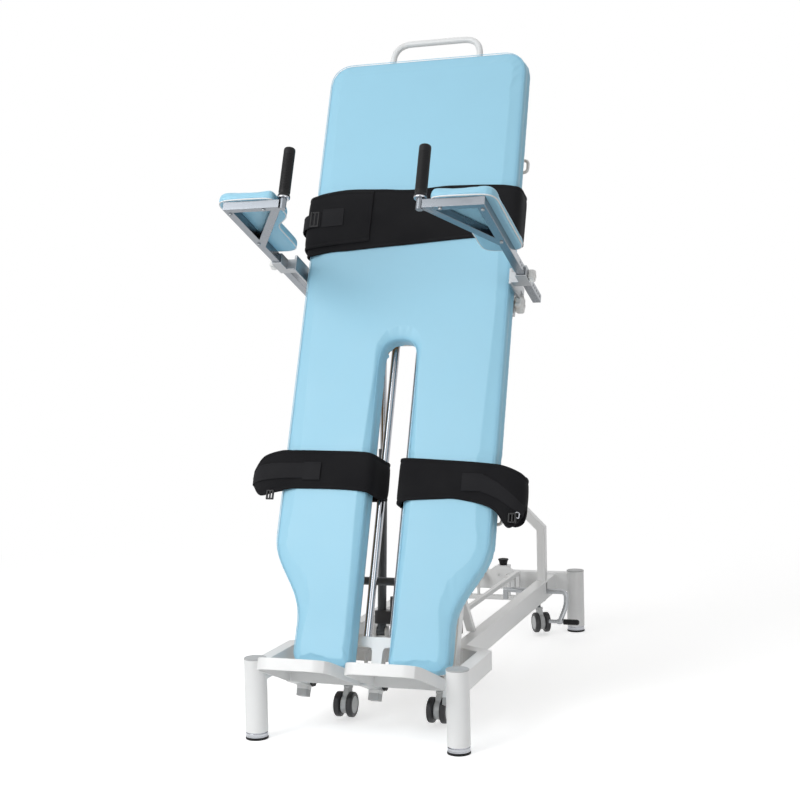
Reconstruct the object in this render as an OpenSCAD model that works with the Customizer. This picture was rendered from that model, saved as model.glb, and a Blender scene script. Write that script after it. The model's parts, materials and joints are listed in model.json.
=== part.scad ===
// Tilt table for physiotherapy: a padded bed with a leg slot, tilted on a base with four round columns.
// Millimetres, +Z up, the foot end towards -Y. The origin lies on the floor at the middle of the outline.
// The bed is drawn in its own axes: X across, Y behind the padding's front face, Z from foot to head.

/* [Base] */
// How far outside the bed's side tubes the columns stand, centre to centre
column_over = 76; // [70:1:120]
// Distance from the front columns to the rear ones, centre to centre
wheelbase = 1617; // [1560:1:1700]
// Outside diameter of a column
col_d = 65; // [55:1:75]
// Height of the columns with their caps
col_h = 233; // [226:1:250]
// Wall of the column tube
col_wall = 2.5; // [1.5:0.5:4]
// Height of the top faces of the base beams
beam_top = 219; // [214:1:222]
// Width of a base beam
beam_w = 40; // [34:1:44]
// Height of the long beams
beam_h = 69; // [60:1:75]
// Wall of all base beams
beam_wall = 3; // [2:0.5:4]
// How far inside the bed's side tubes the long beams lie, centre to centre
beam_inset = 16; // [12:1:24]
// Height of the front arms and of the front cross beam
arm_h = 57; // [50:1:62]
// Distance from the front columns to the middle of the front cross beam
front_beam_y = 332; // [328:1:336]
// Distance from the bend of the front arms to the middle of the front cross beam
arm_bend = 50; // [44:1:60]
// Height of the rear beam
rear_beam_h = 70; // [60:1:75]

/* [Rear arch] */
// Distance from the rear columns to the arch on which the level bed rests
arch_ahead = 157; // [147:1:177]
// Width of the arch tube, seen from the front
arch_w = 30; // [25:1:34]
// Depth of the arch tube
arch_depth = 40; // [30:1:44]
// Height of the arch's middle line at its top
arch_top = 487; // [482:1:488]
// How far the arch's corners are cut across at 45 degrees
arch_cut = 75; // [60:1:80]

/* [Tilt] */
// Angle of the bed from level, as drawn
tilt = 69; // [62:0.5:71]
// Distance from the front columns to the tilt pivot
pivot_y = 395; // [390:1:400]
// Height of the tilt pivot
pivot_z = 391; // [388:1:400]
// Distance of the pivot behind the padding's front face
pivot_behind = 197; // [196:1:205]
// Distance of the pivot from the bed's zero line, along the bed
pivot_u = 494; // [488:1:500]
// Diameter of the pivot shaft
shaft_d = 25; // [20:1:28]
// Stroke angle of the lift actuator's foot, from the front columns
act_foot_y = 526; // [520:1:532]
// Height of the actuator's lower pin
act_foot_z = 208; // [204:1:210]
// Distance of the actuator from the middle, to the left
act_x = 100; // [96:1:110]
// Place of the actuator's upper pin along the bed
act_head_u = 1376; // [1370:1:1380]
// Place of the actuator's upper pin behind the padding's front face
act_head_behind = 100; // [98:1:104]
// Outside diameter of the actuator's outer tube
act_tube_d = 28; // [26:1:34]
// Length of the actuator's outer tube
act_tube_len = 575; // [540:5:600]
// Diameter of the actuator's rod
act_rod_d = 20; // [16:1:22]

/* [Bed] */
// Width of the padding
pad_w = 678; // [640:2:690]
// Place of the padding's foot end along the bed
pad_foot = 200; // [195:1:210]
// Place of the padding's head end along the bed
pad_head = 2194; // [2120:1:2230]
// Thickness of the padding
pad_t = 58; // [45:1:60]
// Thickness of the board under the padding
board_t = 15; // [10:1:15]
// Width of the slot between the legs
slot_w = 106; // [100:1:120]
// Place of the slot's head end along the bed
slot_end = 1206; // [1190:1:1236]
// Width of the padding across both feet
foot_w = 484; // [470:2:500]
// Corner radius at the head end
head_r = 75; // [40:1:100]
// How far the padding reaches past the middle of each side tube
pad_over = 115; // [108:1:120]
// Width of a side tube
tube_w = 32; // [28:1:34]
// Depth of a side tube
tube_deep = 40; // [36:1:42]
// Wall of the bed's tubes
tube_wall = 2; // [1.5:0.5:3]
// Place of the side tubes' foot end along the bed
tube_foot = 145; // [140:1:150]
// Place of the side tubes' head end along the bed
tube_head = 2150; // [2080:1:2180]
// Diameter of the strap rods in the slot
rod_d = 25; // [20:1:28]
// Distance between the two strap rods
rod_track = 80; // [76:1:84]
// Distance of the head handle's feet from the middle of the side tubes
handle_inset = 74; // [60:1:120]
// Place of the head handle's bar along the bed
handle_u = 2300; // [2270:5:2330]
// Diameter of the head handle's tube
handle_d = 21; // [16:1:25]

/* [Footplates] */
// Place of the footplates' top face along the bed
plate_u = 188; // [186:1:190]
// Reach of the footplates in front of the padding
plate_reach = 269; // [240:1:300]
// How far a footplate reaches past the middle of the left side tube
plate_over = 13; // [8:1:16]
// Gap between the left footplate and the sleeve of the right one
plate_apart = 0.7; // [0.5:0.1:3]
// Height of a footplate's rim
rim_h = 33; // [25:1:36]
// Wall of a footplate
plate_wall = 4; // [2.5:0.5:5]
// Radius of a footplate's corners
plate_r = 45; // [20:1:60]

/* [Armrests] */
// Distance of an armrest tube from the padding's side
arm_gap = 55; // [50:1:70]
// Size of the square armrest tube
arm_tube = 25; // [22:1:28]
// Place of the right armrest along the bed
arm_u_right = 1375; // [1350:1:1400]
// Place of the left armrest along the bed
arm_u_left = 1445; // [1400:1:1460]
// Reach of the right armrest in front of the padding
arm_reach_right = 575; // [540:1:600]
// Reach of the left armrest in front of the padding
arm_reach_left = 480; // [450:1:520]
// Length of the armrest tube
arm_len = 690; // [640:1:720]
// Distance between the grip post and the armrest tube
grip_inset = 171; // [160:1:190]
// Length of the rubber grip
grip_len = 144; // [120:1:150]
// Diameter of the rubber grip
grip_d = 34; // [28:1:36]
// Thickness of the armrest cushion
cush_t = 34; // [25:1:40]

/* [Straps] */
// Width of the chest strap
chest_w = 200; // [150:1:205]
// Place of the chest strap's middle along the bed
chest_u = 1612; // [1608:1:1640]
// Width of a knee strap
knee_w = 118; // [100:1:130]
// Place of the knee straps' middle along the bed
knee_u = 790; // [770:1:810]
// Thickness of the straps
strap_t = 5; // [3:0.5:6]

/* [Castors] */
// Diameter of a castor wheel
wheel_d = 75; // [60:1:78]
// Width of one wheel of a twin castor
wheel_w = 19; // [15:1:20]
// Gap under the lifted castors
lift_gap = 10; // [8:1:14]
// Distance from a castor's stem to its axle
trail = 24; // [18:1:26]
// Distance from the front castor stems to the middle of the front cross beam
castor_front_ahead = 68; // [64:1:70]
// Distance from the rear castor stems to the rear columns
castor_rear_ahead = 76; // [72:1:86]
// Distance from the pedal shaft to the rear columns
pedal_ahead = 172; // [167:1:177]
// Height of the pedal shaft
pedal_z = 180; // [178:1:184]
// Diameter of the pedal's tube
pedal_d = 18; // [14:1:19]

/* [Hidden] */
$fn = 48;
corner_steps = 4;

// Overrun of every cut past the face that it leaves
over = 1;
// Radial gap of a pin or a shaft that turns or slides in its bore
run_fit = 0.05;
// Gap between rigid pieces that slide past each other, and round soft pieces
slip = 0.3;

// Colours
white_paint = [0.90, 0.90, 0.89];
cap_grey = [0.66, 0.65, 0.66];
dark_grey = [0.30, 0.31, 0.33];
black = [0.09, 0.09, 0.10];
chrome = [0.78, 0.78, 0.80];
steel = [0.70, 0.71, 0.72];
pad_blue = [0.36, 0.62, 0.74];
wood = [0.72, 0.60, 0.42];

// Widths, worked out from the padding's
half_pad = pad_w / 2;
half_tubes = half_pad - pad_over;
half_track = half_tubes + column_over;
half_beams = half_tubes - beam_inset;
arm_x = half_pad + arm_gap;
handle_w = 2 * (half_tubes - handle_inset);
sleeve_wall = 4;
plate_gap = tube_w + 2 * (slip + sleeve_wall + plate_apart);
plate_w = half_tubes + plate_over - plate_gap / 2;

// Base, worked out
arm_bend_y = front_beam_y - arm_bend;
arch_y = wheelbase - arch_ahead;
castor_front_y = front_beam_y - castor_front_ahead;
castor_rear_y = wheelbase - castor_rear_ahead;
pedal_y = wheelbase - pedal_ahead;
beam_in = half_beams - beam_w / 2;
beam_out = half_beams + beam_w / 2;
beam_low = beam_top - beam_h;
arm_low = beam_top - arm_h;
glide_pad_h = 7;
glide_ring_h = 12;
glide_gap = 3;
glide_pad_grow = 1;
glide_spigot_h = 20;
col_low = glide_pad_h + glide_ring_h + glide_gap;
cap_h = 4;
cap_spigot_h = 14;
cap_groove = 0.8;
rear_beam_rise = 5;
rear_beam_top = beam_top + rear_beam_rise;
rear_beam_low = rear_beam_top - rear_beam_h;
front_beam_front = front_beam_y - beam_w / 2;
mid_size = 40;
mid_y = act_foot_y;
mid_low = beam_low;
mid_top = mid_low + mid_size;
lug_w = 30;
lug_t = 12;
guide_d = 12;
guide_x = 60;
lean = 90 - tilt;

// The plan's front and rear ends set the origin
plan_back = wheelbase + (col_d + glide_pad_grow) / 2;
bed_zero_y = pivot_y - pivot_behind * cos(lean) - pivot_u * sin(lean);
bed_zero_z = pivot_z + pivot_behind * sin(lean) - pivot_u * cos(lean);
plan_front = bed_zero_y + (plate_u - rim_h) * sin(lean) - plate_reach * cos(lean);
plan_mid = (plan_back + plan_front) / 2;

// Bed, worked out
board_back = pad_t + board_t;
tube_back = board_back + tube_deep;
tube_in = half_tubes - tube_w / 2;
tube_out = half_tubes + tube_w / 2;
member = 30;
member_wall = 2;
rod_behind = board_back + member_wall + rod_d / 2 + over;
cap_len = 20;
cap_r = 6;
crossbar_from_foot = 132;
crossbar_low = tube_foot + crossbar_from_foot;
crossbar_high = crossbar_low + member;
slot_member_gap = 16;
slot_member_low = slot_end + slot_member_gap;
act_member_gap = 24;
act_member_low = act_head_u + act_member_gap;
act_member_w = 40;
chest_member_low = 1698;
head_member_low = tube_head - act_member_w;
ear_t = 8;
ear_r = 24;
ear_in = tube_in;

// Castors, worked out
castor_from_side = 38;
castor_shift = 14;
castor_rear_out = 5;
castor_beam_short = 8;
axle_z = lift_gap + wheel_d / 2;
axle_d = 8;
fork_t = 19;
fork_gap = 0.5;
stem_d = 12;
fork_top = 100;
fork_collar_h = 8;
fork_collar_d = 28;
front_castor_low = 102;
front_castor_h = 38;
front_castor_w = 36;
rear_castor_low = 125;
rear_castor_h = 15;
front_stem_left = half_beams - 2 * castor_from_side - castor_shift;
front_stem_right = half_beams - castor_from_side;
rear_stem_x = half_beams - castor_from_side + castor_rear_out;
castor_beam_end = half_beams - castor_beam_short;
link_size = 16;
link_x = 95;
link_rise = 2;
link_low = beam_top + link_rise;
link_behind = 52;
link_front = front_beam_y + link_behind;
link_drop_low = 106;

// Frames of reference
module on_base() { translate([0, -plan_mid, 0]) children(); }
module on_bed() {
    translate([0, pivot_y - plan_mid, pivot_z]) rotate([-lean, 0, 0]) translate([0, -pivot_behind, -pivot_u])
        children();
}
module both_sides() { for (side = [-1, 1]) scale_side(side) children(); }
module scale_side(side) { if (side > 0) children(); else mirror([1, 0, 0]) children(); }

// Helpers: a box between two corners, a rod between two points, and tubes
module box(low, high) { translate(low) cube(high - low); }
module rod(a, b, d) {
    way = b - a;
    translate(a) rotate([0, acos(way[2] / norm(way)), atan2(way[1], way[0])]) cylinder(h = norm(way), d = d);
}
module box_tube(low, high, wall, axis) {
    // axis is the open direction: 0, 1 or 2
    skin = [for (i = [0:2]) i == axis ? -over : wall];
    difference() {
        box(low, high);
        box(low + skin, high - skin);
    }
}
module elbow(r, d) { rotate_extrude(angle = 90) translate([r, 0]) circle(d = d); }

// Outlines whose corners are rounded by a curve of two tangents
function unit(v) = v / norm(v);
function soft_corner(a, p, b, r, steps) = [for (i = [0:steps]) let (s = i / steps)
    p + unit(a - p) * r * (1 - s) * (1 - s) + unit(b - p) * r * s * s];
function soften(pts, r, steps) = let (n = len(pts)) [for (i = [0:n - 1])
    each soft_corner(pts[(i + n - 1) % n], pts[i], pts[(i + 1) % n], r[i], steps)];
function inward(pts, i) = let (n = len(pts), way = unit(pts[(i + 1) % n] - pts[(i + n - 1) % n]))
    [-way[1], way[0]];
function inset(pts, d) = [for (i = [0:len(pts) - 1]) pts[i] + d * inward(pts, i)];

// Columns with their caps and glides
module at_columns() {
    for (x = [-half_track, half_track], y = [0, wheelbase]) translate([x, y, 0]) children();
}
module columns() color(white_paint) on_base() at_columns() difference() {
    translate([0, 0, col_low]) cylinder(h = col_h - cap_h - col_low, d = col_d);
    translate([0, 0, col_low - over]) cylinder(h = col_h - col_low, d = col_d - 2 * col_wall);
}
spigot_d = col_d - 2 * col_wall - 2 * run_fit;
module column_caps() color(cap_grey) on_base() at_columns() {
    translate([0, 0, col_h - cap_h + cap_groove]) cylinder(h = cap_h - cap_groove, d = col_d);
    translate([0, 0, col_h - cap_h]) cylinder(h = cap_h, d = col_d - 2 * cap_groove);
    translate([0, 0, col_h - cap_h - cap_spigot_h]) cylinder(h = cap_h + cap_spigot_h - cap_groove, d = spigot_d);
}
module glide_rings() color(chrome) on_base() at_columns() {
    translate([0, 0, glide_pad_h]) cylinder(h = glide_ring_h, d = col_d - glide_pad_grow);
    translate([0, 0, glide_pad_h]) cylinder(h = glide_ring_h + glide_gap + glide_spigot_h, d = spigot_d);
}
module glide_pads() color(black) on_base() at_columns()
    cylinder(h = glide_pad_h, d = col_d + glide_pad_grow);

// Front arms: back from each front column, then slanted in to the long beam
arm_ahead = 6;
arm_slope = (arm_bend - arm_ahead) / (beam_out - half_track);
arm_skew = sqrt(1 + arm_slope * arm_slope);
function arm_plan(h, start) = [[half_track - h, start], [half_track + h, start],
    [half_track + h, arm_bend_y + h * (arm_slope + arm_skew)],
    [beam_out, arm_bend_y + arm_slope * (beam_out - half_track) + h * arm_skew],
    [beam_out, arm_bend_y + arm_slope * (beam_out - half_track) - h * arm_skew],
    [half_track - h, arm_bend_y - h * (arm_slope + arm_skew)]];
module front_arms() color(white_paint) on_base() both_sides() difference() {
    translate([0, 0, arm_low]) linear_extrude(arm_h) polygon(arm_plan(beam_w / 2, 0));
    translate([0, 0, arm_low + beam_wall]) linear_extrude(arm_h - 2 * beam_wall)
        polygon(arm_plan(beam_w / 2 - beam_wall, -over));
    translate([half_track, 0, 0]) cylinder(h = col_h, d = col_d);
}

// Lugs that hold the two guide pins of a castor beam, in front of the beam whose front face is given
module guide_lugs(pin_y, face_y, pin_low) for (x = [-guide_x, guide_x]) {
    box([x - lug_w / 2, pin_y - lug_w / 2, beam_top - lug_t], [x + lug_w / 2, face_y, beam_top]);
    translate([x, pin_y, pin_low]) cylinder(h = beam_top - lug_t - pin_low, d = guide_d);
}
module front_cross_beam() color(white_paint) on_base() {
    box_tube([-beam_in, front_beam_front, arm_low], [beam_in, front_beam_front + beam_w, beam_top],
        beam_wall, 0);
    guide_lugs(castor_front_y, front_beam_front, front_castor_low);
}

// Long beams. The right one has the pedal's slot outside and its bearing inside.
beam_start = arm_bend_y + arm_slope * (beam_out - half_track) - arm_skew * beam_w / 2;
pedal_slot_h = 42;
pedal_boss_d = 30;
pedal_boss_len = 20;
module side_beams() color(white_paint) on_base() {
    both_sides() box([beam_in, beam_start, beam_low], [beam_out, beam_start + beam_wall, beam_top]);
    mirror([1, 0, 0]) long_tube();
    difference() {
        union() {
            long_tube();
            translate([beam_in - pedal_boss_len, pedal_y, pedal_z]) rotate([0, 90, 0])
                cylinder(h = pedal_boss_len + beam_wall, d = pedal_boss_d);
        }
        translate([beam_in - pedal_boss_len - over, pedal_y, pedal_z]) rotate([0, 90, 0])
            cylinder(h = beam_w, d = pedal_d + 2 * run_fit);
        box([half_beams, pedal_y - pedal_d / 2 - over, pedal_z],
            [beam_out + over, pedal_y + pedal_d / 2 + over, pedal_z - pedal_d / 2 + pedal_slot_h]);
        translate([half_beams, pedal_y, pedal_z]) rotate([0, 90, 0])
            cylinder(h = beam_w, d = pedal_d + 2 * over);
    }
}
module long_tube() box_tube([beam_in, beam_start + beam_wall, beam_low],
    [beam_out, wheelbase - beam_w / 2, beam_top], beam_wall, 1);

// Cross tube that carries the actuator's clevis and pin
act_eye_w = 28;
clevis_gap = act_eye_w + 2 * slip;
clevis_t = 6;
clevis_r = 16;
pin_d = 12;
module mid_cross_tube() color(white_paint) on_base() {
    box_tube([-beam_in, mid_y - mid_size / 2, mid_low], [beam_in, mid_y + mid_size / 2, mid_top],
        beam_wall, 0);
    for (x = [-act_x - clevis_gap / 2 - clevis_t, -act_x + clevis_gap / 2]) {
        translate([x, act_foot_y, act_foot_z]) rotate([0, 90, 0]) cylinder(h = clevis_t, r = clevis_r);
        box([x, act_foot_y - clevis_r, mid_top], [x + clevis_t, act_foot_y + clevis_r, act_foot_z]);
    }
    translate([-act_x - clevis_gap / 2, act_foot_y, act_foot_z]) rotate([0, 90, 0])
        cylinder(h = clevis_gap, d = pin_d);
}

// Rear beam with a raised plate for the conical buffer
buffer_x = 20;
hump_half = 50;
hump_top_half = 25;
hump_t = 6;
hump_rise = 20;
hump_hole_d = 10;
module rear_beam() color(white_paint) on_base() {
    difference() {
        box_tube([-half_track, wheelbase - beam_w / 2, rear_beam_low],
            [half_track, wheelbase + beam_w / 2, rear_beam_top], beam_wall, 0);
        for (x = [-half_track, half_track])
            translate([x, wheelbase, 0]) cylinder(h = col_h, d = col_d);
    }
    guide_lugs(castor_rear_y, wheelbase - beam_w / 2, rear_castor_low);
    difference() {
        translate([buffer_x, wheelbase - beam_w / 2, 0]) rotate([90, 0, 0]) linear_extrude(hump_t)
            polygon([[-hump_half, rear_beam_low + beam_wall], [hump_half, rear_beam_low + beam_wall],
                [hump_half, rear_beam_top], [hump_top_half, rear_beam_top + hump_rise],
                [-hump_top_half, rear_beam_top + hump_rise], [-hump_half, rear_beam_top]]);
        translate([buffer_x - hump_hole_d, wheelbase - beam_w / 2 + over, beam_top - hump_hole_d])
            rotate([90, 0, 0]) cylinder(h = hump_t + 2 * over, d = hump_hole_d);
    }
    box([buffer_x - hump_top_half, wheelbase - beam_w / 2, rear_beam_top],
        [buffer_x + hump_top_half, wheelbase + beam_w / 2, rear_beam_top + hump_rise]);
}

// Conical buffer on the rear beam, and the two rest pads on the arch
buffer_h = 24;
buffer_neck_d = 28;
buffer_head_d = 40;
buffer_head_h = 7;
arch_half = half_beams - arch_cut;
arch_pad_w = 60;
arch_pad_inset = 12;
level_board_z = pivot_z + pivot_behind - board_back;
module rubber_stops() color(black) on_base() {
    translate([buffer_x, wheelbase, rear_beam_top + hump_rise]) rotate_extrude() polygon([[0, 0],
        [buffer_neck_d / 2, 0], [buffer_head_d / 2 - buffer_head_h / 3, buffer_h - buffer_head_h],
        [buffer_head_d / 2, buffer_h - buffer_head_h * 2 / 3],
        [buffer_head_d / 2, buffer_h - buffer_head_h / 3],
        [buffer_head_d / 2 - buffer_head_h / 3, buffer_h], [0, buffer_h]]);
    both_sides() box([arch_half - arch_pad_inset - arch_pad_w, arch_y - arch_depth / 2, arch_top + arch_w / 2],
        [arch_half - arch_pad_inset, arch_y + arch_depth / 2, level_board_z - slip]);
}

// Arch over the long beams, on which the level bed rests
arch_spring = arch_top - arch_cut;
function arch_side(h) = let (k = h * tan(22.5)) [[half_beams + h, beam_top], [half_beams + h, arch_spring + k],
    [arch_half + k, arch_top + h]];
function flip(pts) = [for (i = [len(pts) - 1:-1:0]) [-pts[i][0], pts[i][1]]];
function turn(pts) = [for (i = [len(pts) - 1:-1:0]) pts[i]];
function arch_line(h) = concat(arch_side(h), flip(arch_side(h)));
module arch_ring(h, depth) translate([0, depth / 2, 0]) rotate([90, 0, 0]) linear_extrude(depth)
    polygon(concat(arch_line(h), turn(arch_line(-h))));
arch_wall = 2;
module rear_arch() color(white_paint) on_base() translate([0, arch_y, 0]) difference() {
    arch_ring(arch_w / 2, arch_depth);
    translate([0, 0, -over]) arch_ring(arch_w / 2 - arch_wall, arch_depth - 2 * arch_wall);
}

// Pivot frames: on each long beam a steep front leg and a rear strut carry the bearing
pivot_w = 25;
pivot_side_gap = 6;
pivot_in = ear_in - pivot_side_gap - pivot_w;
strut_t = 20;
hub_d = 50;
bush_wall = 3;
front_leg_behind = 12;
front_leg_y = front_beam_y + front_leg_behind;
rear_leg_behind = 146;
rear_leg_y = pivot_y + rear_leg_behind;
module leg(foot_y) {
    half = strut_t / 2 / sin(atan2(pivot_z - beam_top, abs(pivot_y - foot_y)));
    polygon([[foot_y - half, beam_top], [foot_y + half, beam_top], [pivot_y + half, pivot_z],
        [pivot_y - half, pivot_z]]);
}
module pivot_frames() color(white_paint) on_base() both_sides() difference() {
    translate([pivot_in, 0, 0]) rotate([90, 0, 90]) linear_extrude(pivot_w) {
        leg(front_leg_y);
        leg(rear_leg_y);
        translate([pivot_y, pivot_z]) circle(d = hub_d);
    }
    translate([pivot_in - over, pivot_y, pivot_z]) rotate([0, 90, 0])
        cylinder(h = pivot_w + 2 * over, d = shaft_d + 2 * bush_wall);
}
module pivot_bushes() color([0.62, 0.50, 0.28]) on_base() both_sides() difference() {
    translate([pivot_in, pivot_y, pivot_z]) rotate([0, 90, 0]) cylinder(h = pivot_w, d = shaft_d + 2 * bush_wall);
    translate([pivot_in - over, pivot_y, pivot_z]) rotate([0, 90, 0])
        cylinder(h = pivot_w + 2 * over, d = shaft_d + 2 * run_fit);
}

// Control box behind the cross tube
ctrl_left = -15;
ctrl_w = 100;
ctrl_len = 270;
ctrl_h = 50;
ctrl_r = 10;
ctrl_flange = 6;
module control_box() color(black) on_base() {
    translate([0, 0, mid_low]) linear_extrude(ctrl_h - beam_wall)
        polygon(soften([[ctrl_left, mid_y + mid_size / 2 + ctrl_flange],
            [ctrl_left + ctrl_w, mid_y + mid_size / 2 + ctrl_flange],
            [ctrl_left + ctrl_w, mid_y + mid_size / 2 + ctrl_len], [ctrl_left, mid_y + mid_size / 2 + ctrl_len]],
            [ctrl_r, ctrl_r, ctrl_r, ctrl_r], corner_steps));
    box([ctrl_left - ctrl_r, mid_y + mid_size / 2, mid_low],
        [ctrl_left + ctrl_w - ctrl_r, mid_y + mid_size / 2 + ctrl_flange + over, mid_top]);
}

// Castor frame: a low beam at each end, joined by one link bar
module castor_beam(stem_y, low, high, w, ends) difference() {
    box_tube([ends[0], stem_y - w / 2, low], [ends[1], stem_y + w / 2, high], beam_wall, 0);
    for (x = [-guide_x, guide_x]) translate([x, stem_y, low - over])
        cylinder(h = high - low + 2 * over, d = guide_d + 2 * run_fit);
}
module stem_socket(x, stem_y, low, high) difference() {
    translate([x, stem_y, low]) cylinder(h = high - low, d = stem_d + 2 * beam_wall);
    translate([x, stem_y, low - over]) cylinder(h = high - low + 2 * over, d = stem_d + 2 * run_fit);
}
module socket_hole(x, stem_y, low, high) translate([x, stem_y, low - over])
    cylinder(h = high - low + 2 * over, d = stem_d + 2 * run_fit);
module castor_beams() color(white_paint) on_base() {
    front_high = front_castor_low + front_castor_h;
    rear_high = rear_castor_low + rear_castor_h;
    difference() {
        union() {
            castor_beam(castor_front_y, front_castor_low, front_high, front_castor_w,
                [-castor_beam_end, castor_beam_end]);
            for (x = [-front_stem_left, front_stem_right])
                stem_socket(x, castor_front_y, front_castor_low, front_high);
        }
        for (x = [-front_stem_left, front_stem_right])
            socket_hole(x, castor_front_y, front_castor_low, front_high);
    }
    difference() {
        union() {
            castor_beam(castor_rear_y, rear_castor_low, rear_high, front_castor_w,
                [-castor_beam_end, castor_beam_end]);
            for (x = [-rear_stem_x, rear_stem_x]) stem_socket(x, castor_rear_y, rear_castor_low, rear_high);
        }
        for (x = [-rear_stem_x, rear_stem_x]) socket_hole(x, castor_rear_y, rear_castor_low, rear_high);
    }
}
module link_bar() color(white_paint) on_base() {
    half = link_size / 2;
    rear_end = castor_rear_y + half;
    box([link_x - half, link_front, link_low], [link_x + half, rear_end, link_low + link_size]);
    box([link_x - half, castor_rear_y - half, rear_castor_low + rear_castor_h],
        [link_x + half, rear_end, link_low + link_size]);
    box([link_x - half, link_front, link_drop_low], [link_x + half, link_front + link_size, link_low + link_size]);
    box([link_x - half, castor_front_y + front_castor_w / 2, link_drop_low],
        [link_x + half, link_front + link_size, link_drop_low + link_size]);
}

// Twin-wheel castors. Each turns about its stem, and its wheels about their axle.
module at_castor(stem_x, stem_y, turn_deg) on_base() translate([stem_x, stem_y, 0]) rotate([0, 0, turn_deg])
    children();
hub_plate_d = 54;
module castor_fork(stem_top) color(cap_grey) {
    difference() {
        union() {
            translate([0, 0, fork_top - fork_collar_h]) cylinder(h = fork_collar_h, d = fork_collar_d);
            translate([-fork_t / 2, -trail, axle_z]) rotate([0, 90, 0]) cylinder(h = fork_t, d = hub_plate_d);
            box([-fork_t / 2, -trail, axle_z], [fork_t / 2, fork_collar_d / 2 - 2 * fork_gap, fork_top - over]);
        }
        translate([-fork_t, -trail, axle_z]) rotate([0, 90, 0]) cylinder(h = 2 * fork_t, d = axle_d + 2 * run_fit);
    }
    translate([0, 0, fork_top - over]) cylinder(h = stem_top - fork_top + over, d = stem_d);
}
tyre_r = 5;
module castor_wheels() color(black) translate([0, -trail, axle_z]) {
    for (side = [0, 180]) rotate([0, 0, side]) translate([fork_t / 2 + fork_gap, 0, 0]) rotate([0, 90, 0])
        rotate_extrude() polygon([[0, 0], [wheel_d / 2 - tyre_r, 0], [wheel_d / 2 - tyre_r / 3, tyre_r / 3],
            [wheel_d / 2, tyre_r], [wheel_d / 2, wheel_w - tyre_r],
            [wheel_d / 2 - tyre_r / 3, wheel_w - tyre_r / 3], [wheel_d / 2 - tyre_r, wheel_w], [0, wheel_w]]);
    translate([-fork_t / 2 - 2 * fork_gap, 0, 0]) rotate([0, 90, 0]) cylinder(h = fork_t + 4 * fork_gap, d = axle_d);
}
front_stem_top = front_castor_low + front_castor_h - over;
rear_stem_top = rear_castor_low + rear_castor_h - over;
rear_castor_turn = 30;
module castor_fork_fl() at_castor(-front_stem_left, castor_front_y, 0) castor_fork(front_stem_top);
module castor_fork_fr() at_castor(front_stem_right, castor_front_y, 0) castor_fork(front_stem_top);
module castor_fork_rl() at_castor(-rear_stem_x, castor_rear_y, -rear_castor_turn) castor_fork(rear_stem_top);
module castor_fork_rr() at_castor(rear_stem_x, castor_rear_y, rear_castor_turn) castor_fork(rear_stem_top);
module castor_wheels_fl() at_castor(-front_stem_left, castor_front_y, 0) castor_wheels();
module castor_wheels_fr() at_castor(front_stem_right, castor_front_y, 0) castor_wheels();
module castor_wheels_rl() at_castor(-rear_stem_x, castor_rear_y, -rear_castor_turn) castor_wheels();
module castor_wheels_rr() at_castor(rear_stem_x, castor_rear_y, rear_castor_turn) castor_wheels();

// Pedal: a bent tube through the right long beam, with a cross bar and a rubber grip
pedal_elbow_r = 20;
pedal_out = half_track;
pedal_knee_z = 130;
pedal_foot_z = 73;
pedal_foot_ahead = 23;
pedal_foot_y = pedal_y - pedal_foot_ahead;
pedal_bar_d = 14;
pedal_bar_inner = 60;
pedal_bar_outer = 52;
pedal_bar_in = pedal_out - pedal_bar_inner;
pedal_bar_out = pedal_out + pedal_bar_outer;
pedal_grip_d = 21;
pedal_grip_len = 58;
pedal_crank_len = 34;
pedal_weld = 1;
module pedal_bar() color(steel) on_base() {
    knee = [pedal_out, pedal_y, pedal_knee_z];
    foot = [pedal_out - pedal_elbow_r, pedal_foot_y, pedal_foot_z];
    rod([link_x - 2 * link_size, pedal_y, pedal_z], [pedal_out - pedal_elbow_r, pedal_y, pedal_z], pedal_d);
    translate([pedal_out - pedal_elbow_r, pedal_y, pedal_z - pedal_elbow_r]) rotate([90, 0, 0])
        elbow(pedal_elbow_r, pedal_d);
    rod(knee, [pedal_out, pedal_y, pedal_z - pedal_elbow_r], pedal_d);
    translate(knee) sphere(d = pedal_d + pedal_weld);
    rod(foot, knee, pedal_d);
    translate(foot) sphere(d = pedal_d + pedal_weld);
    rod([pedal_bar_in, pedal_foot_y, pedal_foot_z], [pedal_bar_out - pedal_grip_d / 2, pedal_foot_y, pedal_foot_z],
        pedal_bar_d);
    box([link_x - 2 * link_size, pedal_y - pedal_d / 2, pedal_z - pedal_crank_len],
        [link_x - link_size, pedal_y + pedal_d / 2, pedal_z]);
}
module pedal_grip() color(black) on_base() difference() {
    union() {
        rod([pedal_bar_out - pedal_grip_len, pedal_foot_y, pedal_foot_z],
            [pedal_bar_out - pedal_grip_d / 2, pedal_foot_y, pedal_foot_z], pedal_grip_d);
        translate([pedal_bar_out - pedal_grip_d / 2, pedal_foot_y, pedal_foot_z]) sphere(d = pedal_grip_d);
    }
    rod([pedal_bar_out - pedal_grip_len - over, pedal_foot_y, pedal_foot_z],
        [pedal_bar_out - pedal_grip_d / 2 + run_fit, pedal_foot_y, pedal_foot_z], pedal_bar_d + 2 * run_fit);
}

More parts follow.
